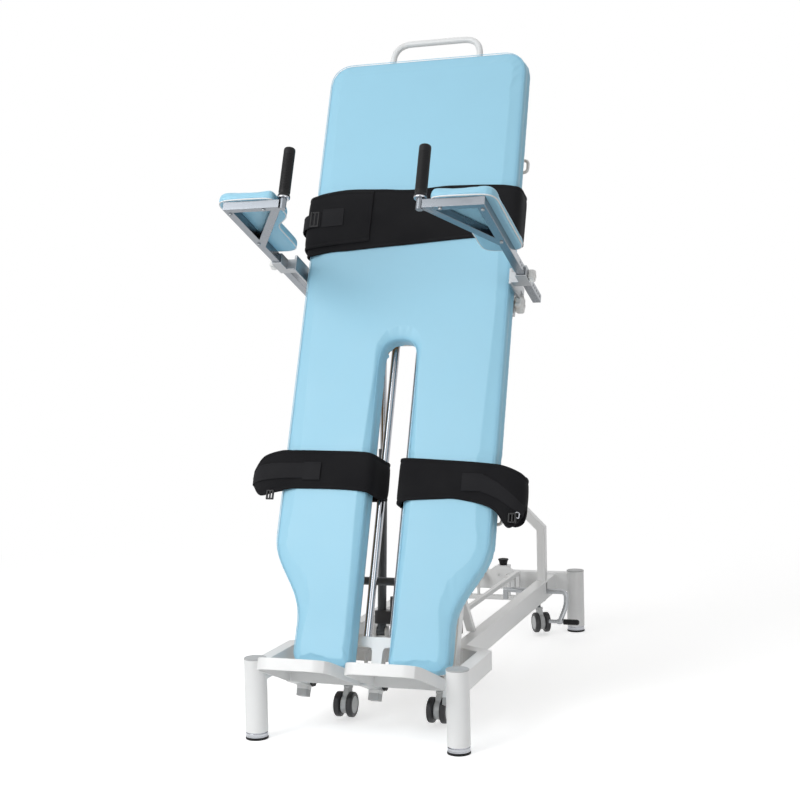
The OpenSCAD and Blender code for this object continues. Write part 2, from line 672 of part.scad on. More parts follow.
// Bed frame: side tubes with the pivot ears, foot frame, cross members and end caps
module side_tubes() color(white_paint) on_bed() both_sides() {
    box_tube([tube_in, board_back, tube_foot], [tube_out, tube_back, tube_head], tube_wall, 2);
    difference() {
        union() {
            box([ear_in, tube_back, pivot_u - ear_r], [ear_in + ear_t, pivot_behind, pivot_u + ear_r]);
            translate([ear_in, pivot_behind, pivot_u]) rotate([0, 90, 0]) cylinder(h = ear_t, r = ear_r);
        }
        translate([ear_in - over, pivot_behind, pivot_u]) rotate([0, 90, 0])
            cylinder(h = ear_t + 2 * over, d = shaft_d + 2 * run_fit);
    }
}
fillet = 14;
module foot_frame() color(white_paint) on_bed() {
    box_tube([-tube_in, board_back, crossbar_low], [tube_in, board_back + member, crossbar_high], member_wall, 0);
    box_tube([-tube_w / 2, board_back, tube_foot], [tube_w / 2, tube_back, crossbar_low], tube_wall, 2);
    both_sides() translate([0, board_back + member_wall, 0]) rotate([90, 0, 0]) linear_extrude(member_wall)
        polygon([[tube_w / 2, crossbar_low], [tube_w / 2 + fillet, crossbar_low],
            [tube_w / 2 + fillet / 4, crossbar_low - fillet / 4], [tube_w / 2, crossbar_low - fillet]]);
}
module bed_member(low, size) box_tube([-tube_in, board_back, low], [tube_in, board_back + member, low + size],
    member_wall, 0);
fork_cheek = 6;
fork_inner = 25;
cheek_r = 18;
module cross_members() color(white_paint) on_bed() {
    bed_member(slot_member_low, member);
    bed_member(act_member_low, act_member_w);
    bed_member(chest_member_low, member);
    bed_member(head_member_low, act_member_w);
    for (x = [-act_x - fork_inner / 2 - fork_cheek, -act_x + fork_inner / 2]) {
        translate([x, act_head_behind, act_head_u]) rotate([0, 90, 0]) cylinder(h = fork_cheek, r = cheek_r);
        box([x, act_head_behind - cheek_r, act_head_u], [x + fork_cheek, act_head_behind + cheek_r, act_member_low]);
    }
}
module tube_caps() color(dark_grey) on_bed() for (x = [-half_tubes, 0, half_tubes]) {
    translate([x - tube_w / 2, board_back, tube_foot - cap_len]) linear_extrude(cap_len)
        polygon(soften([[0, 0], [tube_w, 0], [tube_w, tube_deep], [0, tube_deep]], [cap_r, cap_r, cap_r, cap_r], corner_steps));
    box([x - tube_w / 2 + tube_wall + slip, board_back + tube_wall + slip, tube_foot - over],
        [x + tube_w / 2 - tube_wall - slip, tube_back - tube_wall - slip, tube_foot + cap_len / 2]);
}

// Outline of the padding: right outer side from foot to head, and right side of the slot
half_foot = foot_w / 2;
half_slot = slot_w / 2;
foot_r = 42;
slot_foot_r = 26;
slot_top = 44;
slot_top_round = 0.8;
taper_low = 340;
taper_high = 578;
taper_steps = 8;
function quarter(cx, cu, r, a0) = [for (i = [0:corner_steps]) let (a = a0 + 90 * i / corner_steps)
    [cx + r * cos(a), cu + r * sin(a)]];
outer_side = concat(quarter(half_foot - foot_r, pad_foot + foot_r, foot_r, -90),
    [for (i = [0:taper_steps]) let (s = i / taper_steps)
        [half_foot + (half_pad - half_foot) * (1 - cos(180 * s)) / 2, taper_low + (taper_high - taper_low) * s]],
    [[half_pad, (taper_high + slot_end) / 2], [half_pad, slot_end], [half_pad, (slot_end + pad_head) / 2]],
    quarter(half_pad - head_r, pad_head - head_r, head_r, 0));
level_slot = len(outer_side) - corner_steps - 3;
slot_straight = level_slot - 2 * corner_steps;
slot_side = concat([for (i = [0:corner_steps]) let (a = 90 * i / corner_steps)
        [half_slot + slot_foot_r * (1 - sin(a)), pad_foot + slot_foot_r * (1 - cos(a))]],
    [for (i = [1:slot_straight]) [half_slot, pad_foot + slot_foot_r
        + (slot_end - slot_top - pad_foot - slot_foot_r) * i / slot_straight]],
    [for (i = [1:corner_steps]) let (a = 90 * i / corner_steps)
        [half_slot * pow(cos(a), slot_top_round), slot_end - slot_top + slot_top * pow(sin(a), slot_top_round)]]);
function upto(pts, n) = [for (i = [0:n - 1]) pts[i]];
pad_outline = concat(outer_side, flip(outer_side),
    [for (p = upto(slot_side, level_slot)) [-p[0], p[1]]], turn(slot_side));
ring_count = len(pad_outline);
last_outer = len(outer_side) - 1;
function right_outer(i) = i;
function left_outer(i) = 2 * last_outer + 1 - i;
function left_slot(i) = 2 * last_outer + 2 + i;
function right_slot(i) = ring_count - 1 - i;
// Faces of one cap of the outline: two legs, then the trunk from the slot's end to the head
cap_faces = concat(
    [for (i = [0:level_slot - 1]) each [
        [right_slot(i), right_outer(i), right_outer(i + 1)], [right_slot(i), right_outer(i + 1), right_slot(i + 1)],
        [left_outer(i), left_slot(i), left_slot(i + 1)], [left_outer(i), left_slot(i + 1), left_outer(i + 1)]]],
    [[right_slot(level_slot), right_outer(level_slot), right_outer(level_slot + 1)],
        [right_slot(level_slot), right_outer(level_slot + 1), left_outer(level_slot + 1)],
        [right_slot(level_slot), left_outer(level_slot + 1), left_outer(level_slot)]],
    [for (i = [level_slot + 1:last_outer - 1]) each [
        [left_outer(i), right_outer(i), right_outer(i + 1)], [left_outer(i), right_outer(i + 1), left_outer(i + 1)]]]);
module board() color(wood) on_bed() translate([0, board_back, 0]) rotate([90, 0, 0]) linear_extrude(board_t)
    polygon(inset(pad_outline, board_edge));
board_edge = 9;

// Padding: rings from the back to the crowned front, each drawn in by its own amount
pad_edge_r = 20;
pad_crown = 3;
pad_drawn = 3;
pad_rings = [[pad_drawn, pad_t], [pad_drawn / 3, pad_t - pad_drawn], [pad_drawn, pad_t / 2 + pad_drawn],
    [0, pad_edge_r + pad_drawn], [pad_edge_r / 12, pad_edge_r / 2], [pad_edge_r / 3, pad_edge_r / 7],
    [pad_edge_r, 0], [3 * pad_edge_r, -pad_crown]];
// The leg ends are too narrow to draw the outline in as far as elsewhere
function drawn(d) = [for (i = [0:ring_count - 1]) let (p = pad_outline[i])
    p + (p[1] < pad_foot + foot_r ? min(d, slot_foot_r - over) : d) * inward(pad_outline, i)];
function shifted(face, k) = [for (i = face) i + k];
module pad() color(pad_blue) on_bed() polyhedron(
    points = [for (ring = pad_rings) each [for (p = drawn(ring[0])) [p[0], ring[1], p[1]]]],
    faces = concat([for (f = cap_faces) f],
        [for (k = [0:len(pad_rings) - 2], i = [0:ring_count - 1]) each let (j = (i + 1) % ring_count) [
            [k * ring_count + i, (k + 1) * ring_count + i, (k + 1) * ring_count + j],
            [k * ring_count + i, (k + 1) * ring_count + j, k * ring_count + j]]],
        [for (f = cap_faces) turn(shifted(f, (len(pad_rings) - 1) * ring_count))]),
    convexity = 6);

// Bright rods in the slot, to which the knee straps hook
module strap_rods() color(chrome) on_bed() for (x = [-rod_track / 2, rod_track / 2])
    translate([x, rod_behind, crossbar_high]) difference() {
        cylinder(h = slot_member_low - crossbar_high, d = rod_d);
        translate([0, 0, -over]) cylinder(h = slot_member_low - crossbar_high + 2 * over, d = rod_d - 2 * tube_wall);
    }
collar_d = 32;
collar_w = 10;
module pivot_shaft() color(dark_grey) on_bed() {
    translate([-ear_in - ear_t, pivot_behind, pivot_u]) rotate([0, 90, 0]) cylinder(h = 2 * (ear_in + ear_t), d = shaft_d);
    for (x = [-ear_in, ear_in - pivot_gap]) translate([x, pivot_behind, pivot_u]) rotate([0, 90, 0])
        cylinder(h = pivot_gap, d = collar_d);
    translate([-half_slot, pivot_behind, pivot_u]) rotate([0, 90, 0]) cylinder(h = collar_w / 5, d = shaft_d + collar_w / 5);
}
pivot_gap = ear_in - pivot_in - pivot_w - slip;

handle_bend = 45;
module head_handle() color(white_paint) on_bed() translate([0, board_back + member / 2, 0]) {
    both_sides() {
        rod([handle_w / 2, 0, head_member_low + act_member_w], [handle_w / 2, 0, handle_u - handle_bend], handle_d);
        translate([handle_w / 2 - handle_bend, 0, handle_u - handle_bend]) rotate([90, 0, 0])
            elbow(handle_bend, handle_d);
    }
    rod([handle_bend - handle_w / 2, 0, handle_u], [handle_w / 2 - handle_bend, 0, handle_u], handle_d);
}
loop_d = 10;
loop_h = 42;
loop_out = half_pad + over;
loop_from_head = 330;
loop_high = tube_head - loop_from_head;
loop_low = 676;
module strap_loops() color(white_paint) on_bed() both_sides() for (u = [loop_low, loop_high])
    translate([0, board_back + tube_deep / 2, u]) {
        for (z = [-loop_h / 2, loop_h / 2]) rod([tube_out, 0, z], [loop_out - loop_h / 4, 0, z], loop_d);
        rod([loop_out, 0, -loop_h / 4], [loop_out, 0, loop_h / 4], loop_d);
        translate([loop_out - loop_h / 4, 0, loop_h / 4]) rotate([90, 0, 0]) elbow(loop_h / 4, loop_d);
        translate([loop_out - loop_h / 4, 0, -loop_h / 4]) rotate([90, 90, 0]) elbow(loop_h / 4, loop_d);
    }

// Side rails for the armrests, on spacers
rail_inset = 39;
rail_in = half_pad - rail_inset;
rail_t = 10;
rail_back = 6;
rail_w = 25;
rail_ahead_face = board_back + rail_back;
rail_middle = rail_ahead_face + rail_w / 2;
rail_foot = 1190;
rail_head = 1730;
spacer_d = 12;
spacer_inset = 40;
module side_rails() color(steel) on_bed() both_sides() {
    box([rail_in, rail_ahead_face, rail_foot], [rail_in + rail_t, rail_ahead_face + rail_w, rail_head]);
    for (u = [rail_foot + spacer_inset, rail_head - spacer_inset])
        rod([tube_out, rail_middle, u], [rail_in + over, rail_middle, u], spacer_d);
}

// Straps. The chest strap goes over the padding to the rails, and a knee strap round each leg and rod.
strap_x = half_pad + slip;
strap_front = -pad_crown - slip;
chest_r = 24;
module chest_strap() color(black) on_bed() translate([0, 0, chest_u - chest_w / 2]) linear_extrude(chest_w) {
    hook_behind = rail_ahead_face + rail_w / 2;
    outside = [[rail_in + rail_t + slip, hook_behind + strap_t], [strap_x + strap_t, hook_behind + strap_t],
        [strap_x + strap_t, strap_front - strap_t]];
    inside = [[rail_in + rail_t + slip, hook_behind], [strap_x, hook_behind], [strap_x, strap_front]];
    polygon(soften(concat(outside, flip(outside), turn(flip(inside)), turn(inside)),
        [strap_t / 8, strap_t, chest_r + strap_t, chest_r + strap_t, strap_t, strap_t / 8,
            strap_t / 8, strap_t / 2, chest_r, chest_r, strap_t / 2, strap_t / 8], corner_steps));
}
buckle_w = 50;
buckle_h = 62;
buckle_t = 7;
buckle_x = -322;
buckle_bar = 8;
module chest_buckle() color(black) on_bed() translate([buckle_x, strap_front - strap_t - slip, chest_u])
    rotate([90, 0, 0]) linear_extrude(buckle_t) difference() {
        square([buckle_w, buckle_h], center = true);
        for (x = [-1, 1]) translate([x * (buckle_w - buckle_bar) / 4, 0])
            square([(buckle_w - 3 * buckle_bar) / 2, buckle_h - 2 * buckle_bar], center = true);
    }
knee_slack = 9;
knee_back = tube_back + knee_slack;
knee_r = 22;
knee_in = 12;
module knee_strap() linear_extrude(knee_w) difference() {
    polygon(soften([[knee_in - strap_t, strap_front - strap_t], [strap_x + strap_t, strap_front - strap_t],
        [strap_x + strap_t, knee_back + strap_t], [knee_in - strap_t, knee_back + strap_t]],
        [knee_r + strap_t, knee_r + strap_t, knee_r + strap_t, knee_r + strap_t], corner_steps));
    polygon(soften([[knee_in, strap_front], [strap_x, strap_front], [strap_x, knee_back], [knee_in, knee_back]],
        [knee_r, knee_r, knee_r, knee_r], corner_steps));
}
module knee_strap_left() color(black) on_bed() mirror([1, 0, 0]) translate([0, 0, knee_u - knee_w / 2])
    knee_strap();
module knee_strap_right() color(black) on_bed() translate([0, 0, knee_u - knee_w / 2 - 2 * strap_t]) knee_strap();

// Footplates: a tray with a rim in front of the padding, and a sleeve on its tube
sleeve_h = 26;
plate_back = 2;
knob_stem_d = 8;
foot_knob_u = plate_u - rim_h + sleeve_h / 2;
module footplate(tube_x, plate_low_x) {
    top = plate_u;
    low = plate_u - rim_h;
    sleeve_in = tube_w / 2 + slip;
    difference() {
        translate([plate_low_x, 0, low]) linear_extrude(rim_h)
            polygon(soften([[0, -plate_reach], [plate_w, -plate_reach], [plate_w, plate_back], [0, plate_back]],
                [plate_r, plate_r, plate_wall, plate_wall], corner_steps));
        translate([plate_low_x, 0, low - over]) linear_extrude(rim_h - plate_wall + over)
            polygon(soften([[plate_wall, plate_wall - plate_reach], [plate_w - plate_wall, plate_wall - plate_reach],
                [plate_w - plate_wall, plate_back - plate_wall], [plate_wall, plate_back - plate_wall]],
                [plate_r - plate_wall, plate_r - plate_wall, over, over], corner_steps));
    }
    difference() {
        union() {
            box([tube_x - sleeve_in - sleeve_wall, board_back - slip - sleeve_wall, low],
                [tube_x + sleeve_in + sleeve_wall, tube_back + slip + sleeve_wall, low + sleeve_h]);
            box([tube_x - sleeve_in - sleeve_wall, plate_back - plate_wall, low],
                [tube_x + sleeve_in + sleeve_wall, board_back, low + plate_wall + over]);
            for (x = [tube_x - sleeve_in - sleeve_wall, tube_x + sleeve_in]) box(
                [x, plate_back - plate_wall, low], [x + sleeve_wall, board_back, low + sleeve_h]);
        }
        box([tube_x - sleeve_in, board_back - slip, low - over],
            [tube_x + sleeve_in, tube_back + slip, low + sleeve_h + over]);
        translate([tube_x + sleeve_in - over, board_back + tube_deep / 2, foot_knob_u]) rotate([0, 90, 0])
            cylinder(h = sleeve_wall + 2 * over, d = knob_stem_d + 2 * run_fit);
    }
}
left_plate_x = -plate_gap / 2 - plate_w;
right_plate_x = plate_gap / 2;
module footplate_left() color(white_paint) on_bed() footplate(-half_tubes, left_plate_x);
module footplate_right() color(white_paint) on_bed() footplate(0, right_plate_x - over);

// Knobs: a lobed head on a stem
knob_core_share = 0.78;
knob_lobe_share = 0.32;
knob_neck_share = 0.33;
small_knob_lobes = 5;
big_knob_lobes = 7;
module star_knob(head_d, head_h, stem_len, lobes) {
    linear_extrude(head_h) {
        circle(d = head_d * knob_core_share);
        for (i = [0:lobes - 1]) rotate(360 * i / lobes) translate([head_d * (1 - knob_lobe_share) / 2, 0])
            circle(d = head_d * knob_lobe_share);
    }
    translate([0, 0, -stem_len]) cylinder(h = stem_len + over, d = knob_stem_d);
}
foot_knob_d = 26;
foot_knob_h = 14;
module foot_knob(tube_x) {
    reach = tube_w / 2 + 2 * slip;
    translate([tube_x + reach + sleeve_wall + slip, board_back + tube_deep / 2, foot_knob_u]) rotate([0, 90, 0])
        star_knob(foot_knob_d, foot_knob_h, sleeve_wall + slip, small_knob_lobes);
}
module foot_knob_left() color(black) on_bed() foot_knob(-half_tubes);
module foot_knob_right() color(black) on_bed() foot_knob(0);

// Armrest clamp: a jaw on the side rail, a plate past the padding and a square sleeve
jaw_below = 60;
jaw_above = 30;
jaw_thick = 20;
jaw_out = rail_in + rail_t + jaw_thick;
jaw_lip = 5;
jaw_wall = 5;
arm_plate_gap = 8;
arm_plate_in = half_pad + arm_plate_gap;
arm_plate_t = 8;
arm_plate_h = 40;
sleeve_front = -110;
sleeve_rear = -30;
web_front = -62;
arm_sleeve_wall = 4;
arm_sleeve = arm_tube / 2 + slip + arm_sleeve_wall;
knob_down = 25;
clamp_knob_d = 62;
clamp_knob_h = 24;
bracket_low = clamp_knob_d / 2 - knob_down + 2 * over;
bracket_rear = rail_middle - clamp_knob_d / 2 - 2 * over;
module arm_clamp() {
    jaw_face = rail_ahead_face - jaw_wall;
    jaw_back = rail_ahead_face + rail_w + jaw_wall;
    difference() {
        box([rail_in - jaw_wall, jaw_face, -jaw_below], [jaw_out, jaw_back, jaw_above]);
        box([rail_in - slip, rail_ahead_face - slip, -jaw_below - over],
            [rail_in + rail_t + slip, rail_ahead_face + rail_w + slip, jaw_above + over]);
        box([rail_in - jaw_wall - over, rail_ahead_face + jaw_lip, -jaw_below - over],
            [rail_in, rail_ahead_face + rail_w - jaw_lip, jaw_above + over]);
        translate([rail_in + rail_t, rail_middle, -knob_down]) rotate([0, 90, 0])
            cylinder(h = jaw_out, d = knob_stem_d + 2 * run_fit);
    }
    box([jaw_out - over, rail_ahead_face, bracket_low], [arm_plate_in + over, rail_ahead_face + rail_w, jaw_above]);
    box([arm_plate_in, bracket_rear, bracket_low],
        [arm_plate_in + arm_plate_t, rail_ahead_face + rail_w, jaw_above]);
    box([arm_plate_in, web_front, -arm_plate_h / 2],
        [arm_plate_in + arm_plate_t, bracket_rear + over, jaw_above]);
    box([arm_plate_in + arm_plate_t - over, web_front, -arm_sleeve], [arm_x - arm_sleeve + over, sleeve_rear, arm_sleeve]);
    difference() {
        box([arm_x - arm_sleeve, sleeve_front, -arm_sleeve], [arm_x + arm_sleeve, sleeve_rear, arm_sleeve]);
        box([arm_x - arm_tube / 2 - slip, sleeve_front - over, -arm_tube / 2 - slip],
            [arm_x + arm_tube / 2 + slip, sleeve_rear + over, arm_tube / 2 + slip]);
        translate([arm_x, (sleeve_front + sleeve_rear) / 2, 0]) rotate([0, 90, 0])
            cylinder(h = 2 * arm_sleeve, d = knob_stem_d + 2 * run_fit);
    }
}
module at_arm(side, u) on_bed() translate([0, 0, u]) scale_side(side) children();
module arm_clamp_left() color(steel) at_arm(-1, arm_u_left) arm_clamp();
module arm_clamp_right() color(steel) at_arm(1, arm_u_right) arm_clamp();
module clamp_knob() {
    stem = jaw_out - rail_in - rail_t - slip;
    translate([jaw_out + slip, rail_middle, -knob_down]) rotate([0, 90, 0]) {
        linear_extrude(knob_neck) circle(d = clamp_knob_d * knob_neck_share);
        translate([0, 0, knob_neck]) star_knob(clamp_knob_d, clamp_knob_h, stem + knob_neck, big_knob_lobes);
    }
}
knob_neck = 5;
module clamp_knob_left() color(white_paint) at_arm(-1, arm_u_left) clamp_knob();
module clamp_knob_right() color(white_paint) at_arm(1, arm_u_right) clamp_knob();
arm_knob_d = 40;
arm_knob_h = 18;
module arm_knob() translate([arm_x + arm_sleeve + slip, (sleeve_front + sleeve_rear) / 2, 0]) rotate([0, 90, 0])
    star_knob(arm_knob_d, arm_knob_h, arm_sleeve - arm_tube / 2 - slip / 2, small_knob_lobes);
module arm_knob_left() color(white_paint) at_arm(-1, arm_u_left) arm_knob();
module arm_knob_right() color(white_paint) at_arm(1, arm_u_right) arm_knob();

// Armrest frame: outer tube with its row of holes, front tube, grip post, a slanting brace and screws below
front_tube = 22;
post_d = 20;
post_down = 14;
post_up = 34;
hole_d = 8;
hole_step = 22;
hole_count = 13;
screw_d = 9;
screw_h = 3;
grip_x = arm_x - grip_inset;
module arm_frame(reach) translate([0, -reach, 0]) {
    half = arm_tube / 2;
    difference() {
        box_tube([arm_x - half, 0, -half], [arm_x + half, arm_len, half], tube_wall, 1);
        for (i = [0:hole_count - 1]) translate([arm_x, arm_len - hole_step * (i + 1), 0]) rotate([0, 90, 0])
            cylinder(h = arm_tube, d = hole_d);
    }
    box([arm_x - half + tube_wall - slip, arm_len - over, -half + tube_wall - slip],
        [arm_x + half - tube_wall + slip, arm_len, half - tube_wall + slip]);
    box_tube([grip_x + post_d / 2 - over, -front_tube / 2, -half], [arm_x - half, front_tube / 2, half], tube_wall, 0);
    box([arm_x - half, -front_tube / 2, -half], [arm_x + half, 0, half]);
    translate([grip_x, 0, -post_down]) cylinder(h = post_down + post_up, d = post_d);
    difference() {
        translate([0, 0, -half]) linear_extrude(brace_high) polygon(brace_plan(over));
        translate([0, 0, brace_wall - half]) linear_extrude(brace_high) offset(delta = -brace_wall) polygon(brace_plan(0));
    }
    for (p = brace_screws) translate([p[0], p[1], -half - screw_h]) cylinder(h = screw_h + over, d = screw_d);
}
// The brace is a channel, open towards the cushion, from the front tube's inner end to the armrest tube
brace_len = 256;
brace_high = 23;
brace_wall = 2;
brace_wide = 30;
brace_rise = 50;
brace_screw_in = 58;
brace_screw_back = 20;
function brace_plan(more) = [[grip_x + post_d / 2 + over, front_tube / 2 - more],
    [grip_x + post_d / 2 + brace_wide, front_tube / 2 - more],
    [arm_x - arm_tube / 2 + more, brace_len - brace_rise], [arm_x - arm_tube / 2 + more, brace_len]];
brace_screws = [[grip_x + brace_screw_in, 0], [arm_x, brace_screw_back], [arm_x, brace_len - brace_rise / 2]];
module arm_frame_left() color(steel) at_arm(-1, arm_u_left) arm_frame(arm_reach_left);
module arm_frame_right() color(steel) at_arm(1, arm_u_right) arm_frame(arm_reach_right);

// Rubber grip on its post, with a collar at its foot
grip_collar_h = 20;
grip_foot = post_up - grip_collar_h;
grip_round = 3;
module arm_grip(reach) translate([grip_x, -reach, 0]) difference() {
    union() {
        translate([0, 0, grip_foot]) cylinder(h = grip_collar_h, d = grip_d - 2 * grip_round);
        translate([0, 0, grip_foot + grip_collar_h]) cylinder(h = grip_len - grip_round, d = grip_d);
        translate([0, 0, grip_foot + grip_collar_h]) cylinder(h = grip_len, d = grip_d - 2 * grip_round);
    }
    translate([0, 0, grip_foot - over]) cylinder(h = post_up - grip_foot + over + slip, d = post_d + 2 * run_fit);
}
module arm_grip_left() color(black) at_arm(-1, arm_u_left) arm_grip(arm_reach_left);
module arm_grip_right() color(black) at_arm(1, arm_u_right) arm_grip(arm_reach_right);

// Armrest cushion: an elbow-shaped pad, narrower at its rear end, crowned towards its middle
cush_outside = 40;
cush_inside = 86;
cush_from_grip = 27;
cush_out = arm_x + cush_outside;
cush_in_front = grip_x + cush_from_grip;
cush_in_rear = arm_x - cush_inside;
cush_front = -17;
cush_rear = 352;
cush_notch = 108;
cush_slope = 62;
cush_small_r = 24;
cush_big_r = 42;
cush_plan = soften([[cush_in_front, cush_front], [cush_out, cush_front], [cush_out, cush_rear],
    [cush_in_rear, cush_rear], [cush_in_rear, cush_notch + cush_slope], [cush_in_front, cush_notch]],
    [cush_small_r, cush_big_r, cush_big_r, cush_big_r, cush_small_r, cush_small_r], corner_steps);
cush_centre = [(cush_out + cush_in_rear) / 2, cush_notch + cush_slope / 2];
cush_seat = arm_tube / 2 + slip;
cush_crown = 3;
// Each ring: how far it is drawn in, and its height, both as shares of the thickness
cush_ring_shares = [[0.15, 0], [0.03, 0.12], [0, 0.42], [0.045, 0.68], [0.18, 0.88], [0.41, 1]];
module arm_cushion(reach) {
    n = len(cush_plan);
    m = len(cush_ring_shares);
    translate([0, -reach, cush_seat]) polyhedron(
        points = concat([for (ring = cush_ring_shares) each
                [for (p = inset(cush_plan, ring[0] * cush_t)) [p[0], p[1], ring[1] * cush_t]]],
            [[cush_centre[0], cush_centre[1], 0], [cush_centre[0], cush_centre[1], cush_t + cush_crown]]),
        faces = concat([for (i = [0:n - 1]) [m * n, i, (i + 1) % n]],
            [for (k = [0:m - 2], i = [0:n - 1]) each let (j = (i + 1) % n) [
                [k * n + i, (k + 1) * n + i, (k + 1) * n + j], [k * n + i, (k + 1) * n + j, k * n + j]]],
            [for (i = [0:n - 1]) [m * n + 1, (m - 1) * n + (i + 1) % n, (m - 1) * n + i]]),
        convexity = 4);
}
module arm_cushion_left() color(pad_blue) at_arm(-1, arm_u_left) arm_cushion(arm_reach_left);
module arm_cushion_right() color(pad_blue) at_arm(1, arm_u_right) arm_cushion(arm_reach_right);

// Lift actuator, drawn along its own axis from the lower pin to the upper one
act_head_y = bed_zero_y + act_head_u * sin(lean) + act_head_behind * cos(lean);
act_head_z = bed_zero_z + act_head_u * cos(lean) - act_head_behind * sin(lean);
act_way = [act_head_y - act_foot_y, act_head_z - act_foot_z];
act_len = norm(act_way);
act_eye_r = 14;
rod_eye_w = 20;
rod_eye_r = 13;
motor_low = 26;
motor_len = 84;
motor_in = 4;
motor_w = 70;
motor_gear = 40;
motor_can_at = 48;
motor_can_d = 40;
motor_depth = 56;
motor_r = 10;
module on_actuator() on_base() translate([-act_x, act_foot_y, act_foot_z])
    rotate([atan2(act_way[1], act_way[0]) - 90, 0, 0]) children();
module actuator_tube() color(dark_grey) on_actuator() difference() {
    union() {
        translate([-act_eye_w / 2, 0, 0]) rotate([0, 90, 0]) cylinder(h = act_eye_w, r = act_eye_r);
        translate([0, 0, 0]) cylinder(h = motor_low, d = act_tube_d);
        translate([0, 0, motor_low - over]) cylinder(h = act_tube_len - motor_low + over, d = act_tube_d);
    }
    translate([-act_eye_w, 0, 0]) rotate([0, 90, 0]) cylinder(h = 2 * act_eye_w, d = pin_d + 2 * run_fit);
    translate([0, 0, motor_low]) cylinder(h = act_tube_len, d = act_rod_d + 2 * run_fit);
}
module actuator_motor() color(black) on_actuator() {
    difference() {
        translate([0, 0, motor_low]) linear_extrude(motor_gear)
            polygon(soften([[-act_tube_d / 2 - motor_in, -motor_depth / 2], [motor_w, -motor_depth / 2],
                [motor_w, motor_depth / 2], [-act_tube_d / 2 - motor_in, motor_depth / 2]],
                [act_eye_r, motor_r, motor_r, act_eye_r], corner_steps));
        translate([0, 0, motor_low - over]) cylinder(h = motor_gear + 2 * over, d = act_tube_d);
    }
    translate([motor_can_at, 0, motor_low + motor_gear - over])
        cylinder(h = motor_len - motor_gear + over, d = motor_can_d);
}
module actuator_rod() color(chrome) on_actuator() {
    translate([0, 0, act_rod_foot]) cylinder(h = act_len - act_rod_foot - rod_eye_r / 2, d = act_rod_d);
    translate([-rod_eye_w / 2, 0, act_len]) rotate([0, 90, 0]) cylinder(h = rod_eye_w, r = rod_eye_r);
    translate([-fork_inner / 2 + slip, 0, act_len]) rotate([0, 90, 0]) cylinder(h = fork_inner - 2 * slip, d = pin_d);
}
act_rod_inside = 170;
act_rod_foot = act_tube_len - act_rod_inside;

columns();
column_caps();
glide_rings();
glide_pads();
front_arms();
front_cross_beam();
side_beams();
mid_cross_tube();
rear_beam();
pivot_frames();
pivot_bushes();
rear_arch();
rubber_stops();
control_box();
castor_beams();
link_bar();
castor_fork_fl();
castor_fork_fr();
castor_fork_rl();
castor_fork_rr();
castor_wheels_fl();
castor_wheels_fr();
castor_wheels_rl();
castor_wheels_rr();
pedal_bar();
pedal_grip();
side_tubes();
foot_frame();
cross_members();
tube_caps();
board();
pad();
strap_rods();
pivot_shaft();
head_handle();
strap_loops();
side_rails();
chest_strap();
chest_buckle();
knee_strap_left();
knee_strap_right();
footplate_left();
footplate_right();
foot_knob_left();
foot_knob_right();
arm_clamp_left();
arm_clamp_right();
clamp_knob_left();
clamp_knob_right();
arm_frame_left();
arm_frame_right();
arm_knob_left();
arm_knob_right();
arm_cushion_left();
arm_cushion_right();
arm_grip_left();
arm_grip_right();
actuator_tube();
actuator_motor();
actuator_rod();
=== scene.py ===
"""Looks of a physiotherapy tilt table: a padded bed with a leg slot, tilted on a base with four columns.

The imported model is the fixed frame. Lengths in this file are millimetres, in three spaces that match the part's
own: the base (y from the front columns), the bed (x across, n behind the padding's front, u from foot to head) and
the armrests (the bed's space at an armrest's own height, mirrored for the left one).
"""

from __future__ import annotations

import json
import logging
import math
from dataclasses import dataclass, field
from enum import Enum
from typing import Callable, Iterable, Sequence

import bmesh
import bpy
import numpy as np
from mathutils import Matrix, Vector

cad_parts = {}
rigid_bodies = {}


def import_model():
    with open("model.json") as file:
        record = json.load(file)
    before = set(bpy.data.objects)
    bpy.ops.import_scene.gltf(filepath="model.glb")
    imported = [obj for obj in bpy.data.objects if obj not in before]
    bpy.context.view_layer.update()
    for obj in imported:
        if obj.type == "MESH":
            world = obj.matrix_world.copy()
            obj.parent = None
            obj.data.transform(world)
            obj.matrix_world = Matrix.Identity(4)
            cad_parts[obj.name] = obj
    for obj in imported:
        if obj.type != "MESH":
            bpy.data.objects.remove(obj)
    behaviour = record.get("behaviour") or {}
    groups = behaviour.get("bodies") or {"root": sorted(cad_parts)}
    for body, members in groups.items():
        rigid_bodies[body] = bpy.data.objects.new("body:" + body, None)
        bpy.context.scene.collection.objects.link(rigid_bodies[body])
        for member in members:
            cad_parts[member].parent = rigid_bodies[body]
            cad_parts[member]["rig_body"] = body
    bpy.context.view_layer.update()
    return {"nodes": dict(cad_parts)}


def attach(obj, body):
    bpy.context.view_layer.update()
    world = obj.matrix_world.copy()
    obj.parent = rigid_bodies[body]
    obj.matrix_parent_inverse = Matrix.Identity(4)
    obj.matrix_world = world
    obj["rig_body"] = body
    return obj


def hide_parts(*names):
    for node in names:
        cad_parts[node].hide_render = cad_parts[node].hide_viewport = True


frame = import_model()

log = logging.getLogger("tilt_table")
MM = 0.001
# How far the bed leans back from upright in the stored pose
LEAN = math.radians(21)
# The frame's origin is under the middle of the table's plan, this far behind the front columns
PLAN_MID = 744.2324
# The tilt pivot: how far behind the front columns and how high it is, and where the bed's own space has it
PIVOT_Y, PIVOT_Z = 395, 391
PIVOT_N, PIVOT_U = 197, 494

Tree, Node, Socket = bpy.types.NodeTree, bpy.types.Node, bpy.types.NodeSocket
Pair = tuple[float, float]
Outline = Sequence[Pair]
# A belt's keys: across, behind the front, lower edge and upper edge
Keys = Sequence[tuple[float, float, float, float]]

